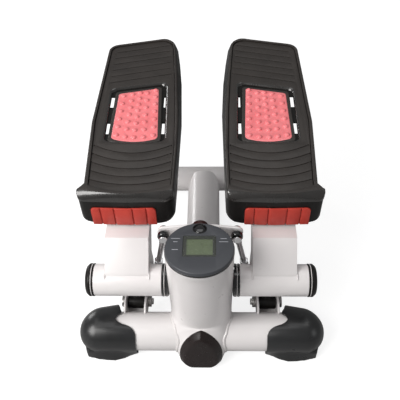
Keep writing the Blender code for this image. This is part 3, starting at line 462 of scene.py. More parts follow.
# The front cap's mouth, as (degrees round the tube from its upper front, distance from the middle):
# a long flap in front, a bite above it and a hook on top
CAP_MOUTH = ((-90, 0.101), (-11, 0.1006), (0, 0.103), (7, 0.1062), (13, 0.111), (17, 0.117), (20, 0.1226),
    (24, 0.127), (29, 0.1305), (35, 0.1325), (41, 0.1322), (47, 0.1295), (52, 0.1258), (56, 0.1245),
    (60, 0.1254), (68, 0.1285), (80, 0.1315), (95, 0.1328), (150, 0.13), (180, 0.125), (215, 0.11),
    (245, 0.102), (270, 0.101))
CAP_FRONT, CAP_BACK = Vector((0, -0.525, 0.851)), Vector((0, 0.851, 0.525))   # the mouth's 0 and 90 degrees
FOOT_FRONT = ((0.101, -0.0215), (0.11, -0.0245), (0.122, -0.031), (0.136, -0.035), (0.15, -0.0345),
    (0.166, -0.032), (0.179, -0.0285))
FOOT_END, FOOT_BACK, SOLE_TOP = 0.1805, 0.023, 0.0012


def cap_reach(x, out):
    """How far the front cap's bulging sleeve and its foot stand out from the tube's axis at x."""
    turn = math.degrees(math.atan2(out.dot(CAP_BACK), out.dot(CAP_FRONT))) % 360
    growth = min(1.0, max(0.0, (0.186 - x) / 0.052))
    sleeve = FRONT_R + CAP_WALL + 0.0085 * growth * math.exp(-((turn - 92) / 36) ** 2)
    if x > FOOT_END or out.z > -0.05:
        return sleeve, 0.0
    best = 0.0
    shoulder = 0.0293
    corners = ((-shoulder, 0.019), (between(FOOT_FRONT, x), SOLE_TOP), (FOOT_BACK, SOLE_TOP),
        (shoulder, 0.019))
    for (y0, z0), (y1, z1) in zip(corners, corners[1:]):
        z0, z1 = z0 - TUBE_Z, z1 - TUBE_Z
        cross = out.y * (z1 - z0) - out.z * (y1 - y0)
        if abs(cross) > 1e-9:
            share = (out.z * y0 - out.y * z0) / cross
            if 0 <= share <= 1:
                best = max(best, (y0 * (z1 - z0) - z0 * (y1 - y0)) / cross)
    return sleeve, best


def make_front_cap(side):
    segments, mouth_steps, bore = 144, 12, FRONT_R + 0.0002
    shoulder = FRONT_HALF - CAP_DOME
    around = []
    for k in range(segments):
        turn = 360 * k / segments - 90
        out = CAP_FRONT * math.cos(math.radians(turn)) + CAP_BACK * math.sin(math.radians(turn))
        around.append((out, between(CAP_MOUTH, turn)))

    def ring(x_at, reach_at):
        """A ring at x_at(mouth) that stands out by reach_at(sleeve, foot)."""
        points = []
        for out, mouth in around:
            x = x_at(mouth)
            points.append(Vector((x, 0, TUBE_Z)) + out * reach_at(*cap_reach(x, out)))
        return points

    def toward_mouth(share):
        return lambda mouth: shoulder + (mouth - shoulder) * share

    rings = [ring(lambda mouth: FRONT_HALF - CAP_DOME * deep, lambda sleeve, foot: max(sleeve * wide, foot))
        for wide, deep in dome_steps()]
    rings += [ring(toward_mouth(k / mouth_steps), max) for k in range(1, mouth_steps + 1)]
    for share, thick in ((1.0, 0.0026), (0.6, 0.003)):
        def tucked_in(sleeve, foot):
            return bore if foot > sleeve else max(bore, sleeve - thick)

        rings.append(ring(toward_mouth(share), tucked_in))
    rings.append(ring(toward_mouth(0), lambda sleeve, foot: bore))
    cap = bevelled(loft(rings), 0.0006, 2, 50)
    stand_in(cap, "front_end_cap", "frame", "charcoal_plastic", side=side)
    outline = [(x, y + 0.0012) for x, y in FOOT_FRONT] + [(0.177, FOOT_BACK - 0.002),
        (0.103, FOOT_BACK - 0.002)]
    sole = bevelled(prism(outline, 0.0002, SOLE_TOP + 0.0002), 0.0003, 1)
    place(sole, "front_end_cap_sole", "frame", "charcoal_plastic", side=side, look=SOLE)
    sole_ribs("front_end_cap", side, (0.116, 0.154), -0.022, 0.017)


def make_base():
    make_tubes()
    for side in SIDES:
        make_front_cap(side)
        make_rear_cap(side)


# ---------------------------------------------------------------- column, nose and console

COLUMN_R, COLUMN_HALF_X = 0.0433, 0.047           # front to back, side to side
CREASE, CREASE_R = Vector((0, -0.024, 0.0766)), 0.0015
NOSE_TURN, NOSE_HALF, NOSE_HEIGHT = 106, 0.0325, 0.0722
CONSOLE = Matrix.Translation((0, 0.0027, 0.2372)) @ Matrix.Rotation(math.radians(-4.1), 4, "X")
CONSOLE_R, LCD_Y, BUTTON_Y, BUTTON_R = 0.0474, 0.003, 0.0355, 0.0082


def ellipse(centre, half_x, half_u, u_axis, segments=96):
    return [centre + X_AXIS * half_x * math.cos(a) + u_axis * half_u * math.sin(a)
        for a in (math.tau * i / segments for i in range(segments))]


def column_rings(inset):
    seat = CONSOLE @ Matrix.Translation((0, 0, -0.0082))
    top_u = seat.to_3x3() @ Y_AXIS
    foot = CREASE + Y_AXIS * (CREASE_R + COLUMN_R)
    flare = ((0, 0.0461), (0.02, 0.046), (0.045, 0.0457), (0.075, 0.0449), (0.11, 0.044), (0.15, 0.0435),
        (0.2, COLUMN_R), (0.45, COLUMN_R), (0.7, COLUMN_R), (0.9, COLUMN_R))
    rings = []
    for t, radius in flare:
        tilt = top_u.lerp(Y_AXIS, min(1, t * 1.2)).normalized()
        rings.append(ellipse(seat.translation.lerp(foot, t), COLUMN_HALF_X - inset, radius - inset, tilt))
    steps = 26
    for k in range(steps + 1):
        turn, share = math.radians(NOSE_TURN * k / steps), k / steps
        u_axis = Vector((0, math.cos(turn), -math.sin(turn)))
        height = 2 * COLUMN_R + (NOSE_HEIGHT - 2 * COLUMN_R) * share
        half_x = COLUMN_HALF_X + (NOSE_HALF - COLUMN_HALF_X) * max(0.0, (share - 0.68) / 0.32) ** 1.4
        rings.append(mouth_ring(CREASE + u_axis * (CREASE_R + height / 2), half_x - inset, height / 2 - inset,
            u_axis, max(0.0, (share - 0.45) / 0.55) ** 1.5))
    return rings


def arch_width(down):
    """Half-width of the nose's pointed arch, as a share, from its point (0) down to its flat foot (1)."""
    if down < 0.66:
        return (1 - max(0.0, 1 - down / 0.66) ** 2.0) ** 0.75
    return max(0.0, 1 - ((down - 0.66) / 0.34) ** 3) ** (1 / 3)


def mouth_ring(centre, half_x, half_u, u_axis, pointed, segments=96):
    """A ring between an ellipse (pointed = 0) and the nose's pointed arch (pointed = 1)."""
    points = []
    for i in range(segments):
        a = math.tau * i / segments
        across, down = math.cos(a), math.sin(a)
        arch = arch_width((1 + down) / 2) * (1 if across > 1e-6 else -1 if across < -1e-6 else 0)
        points.append(centre + X_AXIS * half_x * (across + (arch - across) * pointed)
            + u_axis * half_u * down)
    return points


def weld(item, axis, direction, name, thick, steps=96):
    """A painted bead where a tube of the base meets another piece, found by rays along the tube's wall."""
    shape = bmesh.new()
    shape.from_mesh(item.data)
    tree = BVHTree.FromBMesh(shape)
    turn = along(axis).to_3x3()
    path = []
    for k in range(steps + 1):
        a = math.tau * k / steps
        line = Vector((0, 0, TUBE_Z)) + turn @ Vector((math.cos(a), math.sin(a), 0)) * FRONT_R
        hit = tree.ray_cast(line + Vector(direction) * -0.3, Vector(direction))[0]
        if hit is not None:
            path.append(hit)
    shape.free()
    place(swept(path, thick, 10, 0.1), name, "frame", "white_paint", look=WELD)


def make_column():
    column = loft(column_rings(0) + column_rings(TUBE_WALL)[::-1], wrap=True)
    for side, sign in SIDES.items():
        weld(column, X_AXIS, (-sign, 0, 0), f"column_weld_{side}", 0.0022)
    weld(column, Y_AXIS, (0, -1, 0), "column_weld_rear", 0.002)
    stand_in(column, "column", "frame", "white_paint")


def soft_min(a, b, width):
    """The lesser of two values, blended where they are closer than width."""
    near = max(0.0, width - abs(a - b)) / width
    return min(a, b) - near * near * width / 4


def make_nose_cap():
    """A moulded plug with a ridge down its upper half and a full, rounded lower face."""
    turn = math.radians(NOSE_TURN)
    u_axis = Vector((0, math.cos(turn), -math.sin(turn)))
    out = Vector((0, -math.sin(turn), -math.cos(turn)))
    centre = CREASE + u_axis * (CREASE_R + NOSE_HEIGHT / 2)
    half_x, half_u = NOSE_HALF + 0.0004, NOSE_HEIGHT / 2

    def face(x, u):
        """How far the face stands out: a roof with a ridge above, a full flat face below."""
        down = (1 + u / half_u) / 2
        width = max(0.0005, half_x * arch_width(min(1.0, max(0.0, down))))
        inward = max(0.0, 1 - math.sqrt(x * x + 0.0012 ** 2) / width)
        roof = 0.0006 + 0.62 * 2 * half_u * down * inward
        front = 0.0084 - 0.0016 * (x / half_x) ** 2
        foot = 0.0006 + 0.035 * math.sqrt(max(0.0, 1 - down)) * min(1.0, inward * 3)
        return soft_min(soft_min(roof, front, 0.0016), foot, 0.002)

    def ring(share, depth_of):
        flat = mouth_ring(Vector((0, 0, 0)), half_x * share, half_u * share, Y_AXIS, 1.0)
        return [centre + X_AXIS * p.x + u_axis * p.y + out * depth_of(p.x, p.y) for p in flat]

    rings = [ring(0.9, lambda x, u: -0.005), ring(0.9, lambda x, u: 0.0), ring(1.0, lambda x, u: 0.0002)]
    for share in (0.998, 0.99, 0.975, 0.955, 0.93, 0.9, 0.86, 0.82, 0.77, 0.71, 0.64, 0.56, 0.47, 0.37, 0.26,
            0.14, 0.03):
        rings.append(ring(share, face))
    stand_in(loft(rings), "nose_cap", "frame", "black_plastic", look=NOSE_BROWN)


def on_console(item):
    item.data.transform(CONSOLE)
    return item


def rounded_box(x, y, half_x, half_y, radius, low, high):
    corners = [(x - half_x, y - half_y, radius), (x + half_x, y - half_y, radius),
        (x + half_x, y + half_y, radius), (x - half_x, y + half_y, radius)]
    return prism(ring_of(corners, 5, 1), low, high)


def make_console():
    r = CONSOLE_R
    profile = softened([(0, 0.0, 0), (r - 0.0012, -0.0001, 0.0012), (r, -0.003, 0.0012), (r, -0.0046, 0.0002),
        (r - 0.0006, -0.0048, 0.0002), (r - 0.0006, -0.0078, 0.0004), (r - 0.0025, -0.0078, 0.0002),
        (r - 0.0025, -0.006, 0.0002), (0, -0.006, 0)])
    housing = turned(profile, segments=128)
    button_hole = [(0, -0.0045), (BUTTON_R + 0.0005, -0.0045), (BUTTON_R + 0.0005, 0.01), (0, 0.01)]
    cut(housing, rounded_box(0, LCD_Y, 0.0225, 0.0195, 0.0022, -0.0014, 0.01),
        rounded_box(0, LCD_Y, 0.0186, 0.0156, 0.0012, -0.0046, 0.01), turned(button_hole, (0, BUTTON_Y, 0)))
    bevelled(housing, 0.0005, 3, 35)
    place(on_console(housing), "visual_console", "frame", "slate_plastic", "console_housing")
    # A gloss-black band round the console's lower edge, seated in the housing's lower step: painted shade for
    # the dark gap under the rim.
    rim = lathe([(r - 0.0006, -0.005, 0), (r, -0.005, 0.0003), (r, -0.0078, 0.0004),
        (r - 0.0006, -0.0078, 0)], segments=128)
    place(on_console(rim), "console_shade_band", "frame", "black_plastic", look=GLOSS_BLACK)
    ring = lathe([(BUTTON_R + 0.0003, -0.0035, 0), (BUTTON_R + 0.0003, 0.0004, 0.0002),
        (BUTTON_R + 0.0018, 0.0004, 0.0005), (BUTTON_R + 0.0022, -0.0035, 0)], (0, BUTTON_Y, 0))
    place(on_console(ring), "button_ring", "frame", "slate_plastic", look=GLOSS_BLACK)
    dome = [(BUTTON_R * math.sin(a), -0.0012 + 0.003 * math.cos(a))
        for a in (math.radians(9 * k) for k in range(11))]
    button = turned(dome + [(BUTTON_R, -0.0028), (0, -0.0028)], (0, BUTTON_Y, 0))
    place(on_console(button), "visual_button", "button", "black_plastic", "console_button", look=GLOSS_BLACK)
    skirt = lathe([(0.0418, -0.0079, 0), (0.0418, -0.0105, 0.0003), (0.037, -0.0108, 0.0002),
        (0.037, -0.023, 0.0004), (0.035, -0.023, 0.0004), (0.035, -0.0079, 0)])
    stand_in(on_console(skirt), "console_base", "frame", "black_plastic")
    glass = rounded_box(0, LCD_Y, 0.0222, 0.0192, 0.002, -0.0012, -0.0004)
    place(on_console(bevelled(glass, 0.0002, 2)), "visual_window", "frame", "clear_window", "lcd_window")
    bezel = rounded_box(0, LCD_Y, 0.0224, 0.0194, 0.002, -0.00138, -0.00122)
    cut(bezel, rounded_box(0, LCD_Y, 0.0187, 0.0157, 0.0012, -0.01, 0.01))
    place(on_console(bezel), "window_bezel", "frame", "black_plastic")
    # A black lining over the display recess's walls: painted shade for the dark walls round the display.
    liner = rounded_box(0, LCD_Y, 0.019, 0.016, 0.0014, -0.0044, -0.00142)
    cut(liner, rounded_box(0, LCD_Y, 0.018, 0.015, 0.0008, -0.01, 0.01))
    place(on_console(liner), "window_shade_liner", "frame", "black_plastic")
    panel = rounded_box(0, LCD_Y, 0.0184, 0.0154, 0.0008, -0.0044, -0.003)
    place(on_console(bevelled(panel, 0.0002, 1)), "visual_lcd", "frame", "lcd", "lcd_panel")
    for sign, bars in ((-1, ((0.0165, 0.0125), (0.0105, 0.006), (-0.004, 0.0085))),
            (1, ((0.0165, 0.0085), (0.0105, 0.0125)))):
        for k, (y, length) in enumerate(bars):
            x = sign * 0.0325
            bar = rounded_box(x, y, length / 2, 0.0005, 0.0004, -0.0004, 0.00015)
            place(on_console(bar), f"console_bar_{k + 1}_{'left' if sign > 0 else 'right'}", "frame",
                "slate_plastic", look=PALE_MARK)


# ---------------------------------------------------------------- see-saw, axle and arms

PIVOT_Y, PIVOT_Z, COLLAR_R = 0.029, 0.129, 0.0247
ROCKER_Y, ROCKER_Z, ROCKER_SPAN, ROD_TOP_Y = 0.053, 0.212, 0.052, 0.044
ROD_PIN = Vector((0.069, 0.07, 0.108))
DAMPER_X = 0.105
DAMPER_FOOT, DAMPER_HEAD = Vector((DAMPER_X, 0.046, 0.048)), Vector((DAMPER_X, 0.172, 0.216))


def make_rocker():
    refined("rocker_plate", "rocker", "steel", 0.0006, look=WHITE)
    cap = lathe([(0, 0.0145, 0), (0.0065, 0.0143, 0.003), (0.0118, 0.0112, 0.003), (0.012, 0.0033, 0.0004),
        (0.0093, 0.0033, 0), (0.0093, 0.0086, 0), (0, 0.0086, 0)], (0, ROCKER_Y, ROCKER_Z), Y_AXIS)
    place(cap, "visual_rocker_cap", "frame", "red_plastic", "rocker_pivot_cap", look=CAP_RED)
    refined("rocker_pivot_bolt", "frame", "steel", 0.0003, name="visual_rocker_bolt")
    for side, sign in SIDES.items():
        x = sign * ROCKER_SPAN
        stud = lathe([(0, -0.0175, 0), (0.0062, -0.0175, 0.0008), (0.0062, -0.0155, 0.0004),
            (0.0034, -0.0155, 0.0002), (0.0034, -0.0024, 0.0002), (0.004, -0.0024, 0), (0.004, 0.0024, 0),
            (0.0065, 0.0024, 0.0004), (0.0065, 0.006, 0.0008), (0, 0.006, 0)], (x, ROCKER_Y, ROCKER_Z),
            Y_AXIS, 48)
        stand_in(stud, f"rocker_stud_{side}", "rocker", "chrome")


def make_tie_rods():
    for side in SIDES:
        top = Vector((ROCKER_SPAN, ROD_TOP_Y, ROCKER_Z))
        line = (top - ROD_PIN).normalized()
        length = (top - ROD_PIN).length
        profile = [(0, 0.006, 0), (0.0052, 0.006, 0.0003), (0.0052, 0.02, 0.0006), (0.004, 0.0215, 0.0003),
            (0.004, length - 0.0205, 0.0003), (0.0046, length - 0.02, 0.0003),
            (0.005, length - 0.0085, 0.0006), (0.0038, length - 0.0065, 0), (0, length - 0.0065, 0)]
        shank = lathe(profile, ROD_PIN, line, 48)
        nut_profile = [(0.0041, 0.0215), (0.0068, 0.0215), (0.0068, 0.0255), (0.0041, 0.0255)]
        nut = turned(nut_profile, ROD_PIN, line, 6)
        eye = lathe([(0.0043, -0.0045, 0), (0.0083, -0.0045, 0.001), (0.009, 0, 0.004),
            (0.0083, 0.0045, 0.001), (0.0043, 0.0045, 0)], ROD_PIN, X_AXIS, 48)
        item = joined([shank, bevelled(nut, 0.0004), eye])
        stand_in(item, "tie_rod", "tie_rod", "chrome", side=side)
        socket = lathe([(0.0048, -0.0042, 0), (0.0074, -0.0042, 0.0012), (0.0085, -0.002, 0.0012),
            (0.0085, 0.002, 0.0012), (0.0074, 0.0042, 0.0012), (0.0048, 0.0042, 0)], top, Y_AXIS, 48)
        place(socket, "rod_end_housing", "tie_rod", "chrome", side=side, look=GLOSS_BLACK)
        refined(f"tie_rod_pin_{side}", f"pedal_arm_{side}", "steel", 0.0003)


def make_arms():
    for side, sign in SIDES.items():
        body = f"pedal_arm_{side}"
        shell = lathe([(0.0215, 0.0575, 0), (0.024, 0.0575, 0.0005), (0.024, 0.158, 0.0005),
            (0.0215, 0.158, 0)], (0, PIVOT_Y, PIVOT_Z), X_AXIS, 96)
        stand_in(shell, "pivot_tube", "pedal_arm", "white_paint", side=side)
        collar = lathe([(0.0128, 0.0476, 0), (0.0234, 0.0476, 0.0008), (COLLAR_R, 0.0494, 0.0008),
            (COLLAR_R, 0.0523, 0.0003), (0.0236, 0.0526, 0.0002), (0.0236, 0.0543, 0.0002),
            (COLLAR_R, 0.0546, 0.0003), (COLLAR_R, 0.0572, 0.0004), (0.0212, 0.0572, 0), (0.0212, 0.063, 0),
            (0.0128, 0.063, 0)], (0, PIVOT_Y, PIVOT_Z), X_AXIS, 96)
        stand_in(collar, "pivot_collar", "pedal_arm", "black_plastic", side=side, look=GLOSS_BLACK)
        cap = lathe([(0, 0.171, 0), (0.0205, 0.17, 0.004), (COLLAR_R, 0.1655, 0.003),
            (COLLAR_R, 0.1625, 0.0003), (0.0236, 0.1622, 0.0002), (0.0236, 0.1606, 0.0002),
            (COLLAR_R, 0.1603, 0.0003), (COLLAR_R, 0.1583, 0.0004), (0.0212, 0.1583, 0), (0.0212, 0.1525, 0),
            (0.0195, 0.1525, 0), (0.0195, 0.167, 0), (0, 0.167, 0)], (0, PIVOT_Y, PIVOT_Z), X_AXIS, 96)
        for tag, low, high in (("collar", 0.0531, 0.0538), ("cap", 0.161, 0.1618)):
            ring = turned([(0.0235, low), (0.0244, low), (0.0244, high), (0.0235, high)],
                (0, PIVOT_Y, PIVOT_Z), X_AXIS, 96)
            place(ring, f"{tag}_ring", "pedal_arm", "white_paint", side=side)
        stand_in(cap, "pivot_cap", "pedal_arm", "black_plastic", side=side)
        refined(f"arm_{side}", body, "white_paint", 0.0011, 3)
        refined(f"damper_upper_pin_{side}", body, "steel", 0.0004)
        refined(f"axle_nut_{side}", "frame", "steel", 0.0006)
        for x, tag in ((0.076, "inner"), (0.14, "outer")):
            spot = Vector((x * sign + sign * (-0.0008 if tag == "inner" else 0.0008), PIVOT_Y, PIVOT_Z))
            path = [spot + Vector((0, 0.0245 * math.cos(a), 0.0245 * math.sin(a)))
                for a in (math.radians(-25 + 150 * k / 40) for k in range(41))]
            place(swept(path, 0.0013, 10, 0.12), f"arm_weld_{tag}_{side}", body, "white_paint", look=WELD)


def make_dampers():
    axis = (DAMPER_HEAD - DAMPER_FOOT).normalized()
    reach = (DAMPER_HEAD - DAMPER_FOOT).length
    for side in SIDES:
        barrel = lathe([(0, 0.0145, 0), (0.0125, 0.0145, 0.001), (0.0155, 0.0185, 0.0015),
            (0.0155, 0.04, 0.0003), (0.0149, 0.0404, 0.0002), (0.0149, 0.0416, 0.0002),
            (0.0155, 0.042, 0.0003), (0.0155, 0.114, 0.0003), (0.0148, 0.1144, 0.0002),
            (0.0148, 0.116, 0.0002), (0.0155, 0.1164, 0.0003), (0.0155, 0.1235, 0.0015),
            (0.013, 0.1278, 0.001), (0.0068, 0.1278, 0.0003), (0.0068, 0.1, 0), (0, 0.1, 0)],
            DAMPER_FOOT, axis, 72)
        eye = lathe([(0.0053, -0.013, 0), (0.0115, -0.013, 0.0012), (0.0115, 0.013, 0.0012),
            (0.0053, 0.013, 0)], DAMPER_FOOT, X_AXIS, 64)
        neck = turned([(0, 0.008), (0.0098, 0.008), (0.0098, 0.0155), (0, 0.0155)], DAMPER_FOOT, axis, 48)
        stand_in(joined([barrel, eye, neck]), "damper_cylinder", "damper", "black_plastic", side=side)
        rod = lathe([(0, 0.09, 0), (0.006, 0.09, 0.0004), (0.006, reach - 0.011, 0), (0, reach - 0.011, 0)],
            DAMPER_FOOT, axis, 64)
        eye = lathe([(0.0068, -0.008, 0), (0.0125, -0.008, 0.001), (0.0125, 0.008, 0.001),
            (0.0068, 0.008, 0)], DAMPER_HEAD, X_AXIS, 64)
        stand_in(joined([rod, eye]), "piston_rod", "piston", "chrome", side=side)
        refined(f"damper_bracket_{side}", "frame", "white_paint", 0.0008, 3)
        refined(f"damper_lower_bolt_{side}", "frame", "steel", 0.0004)


# ---------------------------------------------------------------- pedals

RIM_TOE_Y, RIM_TOE_Z = 0.088, 0.259
PEDAL = Matrix.Translation((0, RIM_TOE_Y, RIM_TOE_Z)) @ Matrix.Rotation(math.radians(3.41), 4, "X")
PEDAL_MID_X, PEDAL_HALF = 0.1045, 0.0675
TOE_FRONT, TOE_BOW, LIP_DROP, LIP_TOP, LIP_BOW = 0.0765, 0.002, 0.013, 0.082, 0.0085
TREAD_MID_X, TREAD_HALF_TOE, TREAD_TOE_MID, TREAD_TOE_BOW = 0.1012, 0.0598, 0.0866, 0.0125
TREAD_DEPTH, DECK, SKIRT_TOE = 0.006, 0.0095, 0.0625
TOE_ARC, TOE_EDGE, LIP_STEPS = 6, 12, 12


def on_pedal(item):
    item.data.transform(PEDAL)
    return item


def shell_ring(inset):
    """The pedal's outline seen from above, in pedal coordinates, drawn in by inset."""
    i = inset
    corners = [(0.0365 + i, TOE_FRONT + TOE_BOW + i, max(0.004, 0.014 - i)),
        (0.1757 - i, TOE_FRONT + TOE_BOW + i, max(0.003, 0.01 - i)), (0.1757 - i, 0.0925 - i * 0.2, 0.0008),
        (0.1665 - i, 0.0955 + i * 0.2, 0.0008), (0.1735 - i, 0.235, 0),
        (0.168 - i, 0.439 - i, max(0.004, 0.02 - i)), (0.048 + i, 0.4645 - i, max(0.004, 0.024 - i)),
        (0.04 + i, 0.396, 0), (0.0353 + i, 0.34, 0), (0.0325 + i, 0.26, 0), (0.034 + i, 0.177, 0)]
    points = []
    for x, y in ring_of(corners, TOE_ARC, TOE_EDGE):
        share = (x - PEDAL_MID_X) / PEDAL_HALF
        if abs(y - (TOE_FRONT + TOE_BOW + i)) < 1e-5:
            y -= TOE_BOW * (1 - min(1.0, abs(share)))
        points.append((x, y - RIM_TOE_Y))
    return points


def recess_ring(inset):
    """The tread recess's outline, with the same count of points as the pedal's."""
    i = inset
    toe = TREAD_TOE_MID + TREAD_TOE_BOW
    corners = [(TREAD_MID_X - TREAD_HALF_TOE + i, toe + i, 0.002),
        (TREAD_MID_X + TREAD_HALF_TOE - i, toe + i, 0.002), (0.16122 - i, 0.1085, 0.0004),
        (0.1615 - i, 0.114, 0.0004), (0.1685 - i, 0.235, 0),
        (0.1632 - i, 0.4345 - i, 0.016), (0.0545 + i, 0.458 - i, 0.02), (0.0502 + i, 0.396, 0),
        (0.0462 + i, 0.34, 0), (0.0422 + i, 0.26, 0), (0.0402 + i, 0.177, 0)]
    points = []
    for x, y in ring_of(corners, TOE_ARC, TOE_EDGE):
        share = (x - TREAD_MID_X) / TREAD_HALF_TOE
        if y < toe + i + 0.0021 and abs(share) < 1:
            y -= TREAD_TOE_BOW * (1 - share * share)
        points.append((x, y - RIM_TOE_Y))
    return points


def inward(ring, shares, z):
    """Rings at height z, each a share of the way from a ring of the rim to the recess."""
    return [[Vector((p.x + (x - p.x) * share, p.y + (y - p.y) * share, z))
        for p, (x, y) in zip(ring, recess_ring(0))] for share in shares]


def inner_lean(x, y):
    """How far the inner side leans in between its foot and the rim."""
    leans = [(-0.1, 0.0015), (-0.0095, 0.0015), (0.089, 0.002), (0.145, 0.0038), (0.18, 0.0058),
        (0.216, 0.0067), (0.254, 0.0073), (0.294, 0.0069), (0.328, 0.0057), (0.354, 0.005), (0.382, 0.003),
        (0.5, 0.003)]
    return between(leans, y) * min(1.0, max(0.0, (0.085 - x) / 0.03))


def lower_edge(x, y):
    """Height of the skirt's lower edge: deep at the toe, rounded at its corners, shallow at the sides."""
    skirt = [(-1.0, -SKIRT_TOE), (0.02, -SKIRT_TOE), (0.062, -0.04), (0.4, -0.026), (1.0, -0.026)]
    corner = [(-0.0075, 0.024), (0.0, 0.012), (0.0055, 0.007), (0.0145, 0.002), (0.027, -0.0005),
        (1.0, -0.0005)]
    return max(between(skirt, y), -SKIRT_TOE + between(corner, min(x - 0.0375, 0.1757 - x)))


def pedal_shell():
    under = shell_ring(0.0008)
    rings = []

    def wall(points, fraction, lift=0.0):
        return [Vector((x, y, lower_edge(x, y) * (1 - fraction) - LIP_DROP * fraction + lift))
            for x, y in points]

    behind_toe = TOE_FRONT + 0.006 - RIM_TOE_Y
    for fall, z in ((0, -DECK), (0.5, -DECK * 0.5), (1, 0.0003)):
        rings.append([Vector((x, max(y, behind_toe), lower_edge(x, y) * fall + z))
            for x, y in shell_ring(0.0033)])
    rings += [wall(shell_ring(0.0028), 0), wall(shell_ring(0.0012), 0), wall(under, 0, 0.0006)]
    rings += [wall(under, fraction) for fraction in (0.25, 0.5, 0.75)]
    rings += [level(under, -LIP_DROP - 0.0009), level(shell_ring(0.0003), -LIP_DROP - 0.0004)]
    for k in range(LIP_STEPS + 1):
        rings.append([p + Vector((0, 0.0006 if p.y < 0.0046 else 0, -0.0004)) for p in lip_ring(k)])
    rings += inward(rings[-1], (0.45, 0.8), -0.0005)
    rings += [level(recess_ring(0), -0.001), level(recess_ring(0), -TREAD_DEPTH)]
    return loft(rings, wrap=True)


def lip_ring(k):
    """One line round the rounded lip, from its foot (0) up to the rim (LIP_STEPS)."""
    a = math.radians(90 * k / LIP_STEPS)
    rise = 0.45 * k / LIP_STEPS + 0.55 * math.sin(a)
    run = 0.45 * k / LIP_STEPS + 0.55 * (1 - math.cos(a))
    draw_in = 0.0018 * max(0.0, (rise - 0.8) / 0.2) ** 2
    points = []
    for (x, y), (x_in, y_in) in zip(shell_ring(0), shell_ring(draw_in)):
        share = (x - PEDAL_MID_X) / PEDAL_HALF
        lip = LIP_TOP + LIP_BOW * share ** 2 - RIM_TOE_Y
        front = TOE_FRONT + TOE_BOW * min(1, abs(share)) - RIM_TOE_Y
        points.append(Vector((x_in + inner_lean(x, y) * rise, max(y_in, front + (lip - front) * run),
            -LIP_DROP * (1 - rise))))
    return points


def toe_lip():
    """The polished band across the toe, standing a hair proud of the shell."""
    count = sum(1 for x, y in shell_ring(0) if y < 0.0046)
    rings = []
    for k in range(LIP_STEPS + 1):
        a = math.radians(15 + 60 * k / LIP_STEPS)
        proud = 0.00025 * min(1.0, k / 8)
        band, back = [], []
        line = lip_ring(k)
        for i in range(count):
            ahead = line[(i + 1) % len(line)] - line[i - 1]
            out = Vector((ahead.y, -ahead.x, 0)).normalized() * math.cos(a) + Z_AXIS * math.sin(a)
            band.append(line[i] + out * proud)
            back.append(line[i] - out * 0.0012)
        rings.append(band + back[::-1])
    rings.append([p + Vector((0, 0.0009, -0.0006)) for p in rings[-1]])
    return loft(rings)


def rim():
    """The rim's flat top in the tread's finish, all the way round."""
    top = lip_ring(LIP_STEPS)
    rings = [[p - Z_AXIS * 0.0014 for p in lip_ring(LIP_STEPS - 1)], lip_ring(LIP_STEPS - 2),
        lip_ring(LIP_STEPS - 1), top]
    rings += inward(top, (0.45, 0.9), -5e-5)
    rings += [level(recess_ring(0.0001), -0.0004), level(recess_ring(0.0001), -0.003),
        level(recess_ring(-0.0008), -0.003)]
    return loft(rings, wrap=True)


def deck_plate():
    """The floor under the tread, with two slots on each side of the pad."""
    deck = loft([level(recess_ring(-0.0012), -DECK), level(recess_ring(-0.0012), -TREAD_DEPTH)])
    for low_x, high_x in ((0.057, 0.0625), (0.144, 0.15)):
        for near, far in ((0.211, 0.238), (0.274, 0.302)):
            cut(deck, box((low_x, near - RIM_TOE_Y, -0.03), (high_x, far - RIM_TOE_Y, 0.0)))
    return bevelled(deck, 0.0003, 1)


def window_ring(inset):
    near, far_in, far_out = 0.192, 0.335, 0.318
    corners = [(0.0535 + inset, near + inset, 0.006), (0.152 - inset, near + inset, 0.006),
        (0.153 - inset, far_out - inset, 0.009), (0.0575 + inset, far_in - inset, 0.009)]
    points = []
    for x, y in ring_of(corners, 8, 10):
        share = (x - 0.1028) / 0.0495
        bow = 0.007 * (1 - share * share) * max(0.0, min(1.0, (0.215 - y) / 0.023))
        points.append((x, y - bow - RIM_TOE_Y))
    return points


def window_bead():
    """The smooth edge that rolls from the tread down into the window."""
    section = ((-0.0004, -0.0026), (-0.0003, -0.00212), (0.0006, -0.00208), (0.0016, -0.0028),
        (0.0026, -0.004), (0.0034, -0.0055), (0.0034, -0.0059), (0.0018, -0.0059), (0.0016, -0.004))
    return loft([level(window_ring(inset), z) for inset, z in section], wrap=True)


def pad_ring(inset):
    corners = [(0.0668 + inset, 0.197 + inset, 0.005), (0.1392 - inset, 0.197 + inset, 0.005),
        (0.1376 - inset, 0.305 - inset, 0.005), (0.0722 + inset, 0.3184 - inset, 0.005)]
    points = []
    for x, y in ring_of(corners, 6, 10):
        share = (x - 0.103) / 0.0362
        bow = 0.0075 * (1 - min(1, share * share)) * max(0.0, min(1.0, (0.215 - y) / 0.018))
        points.append((x, y - bow - RIM_TOE_Y))
    return points


def level(points, z):
    return [Vector((x, y, z)) for x, y in points]


def groove(points, depth_top, depth, near, far):
    """A cutter for one moulded groove: a steep wall on its heel side and a slope on its toe side."""
    rings = []
    for i, point in enumerate(points):
        point = Vector(point)
        ahead = (Vector(points[min(i + 1, len(points) - 1)]) - Vector(points[max(i - 1, 0)])).normalized()
        side = Vector((-ahead.y, ahead.x))
        ends = min(1.0, 0.25 + min(i, len(points) - 1 - i))
        ring = []
        for offset, height in ((-near * 1.25, depth_top + 0.001), (-near, depth_top - 0.0001),
                (-0.0002, depth_top - depth), (0.0004, depth_top - depth), (far, depth_top - 0.0001),
                (far * 1.1, depth_top + 0.001)):
            place_2d = point + side * offset * ends
            ring.append(Vector((place_2d.x, place_2d.y - RIM_TOE_Y, height)))
        rings.append(ring)
    return loft(rings)


GROOVE_DEPTH = 0.0018


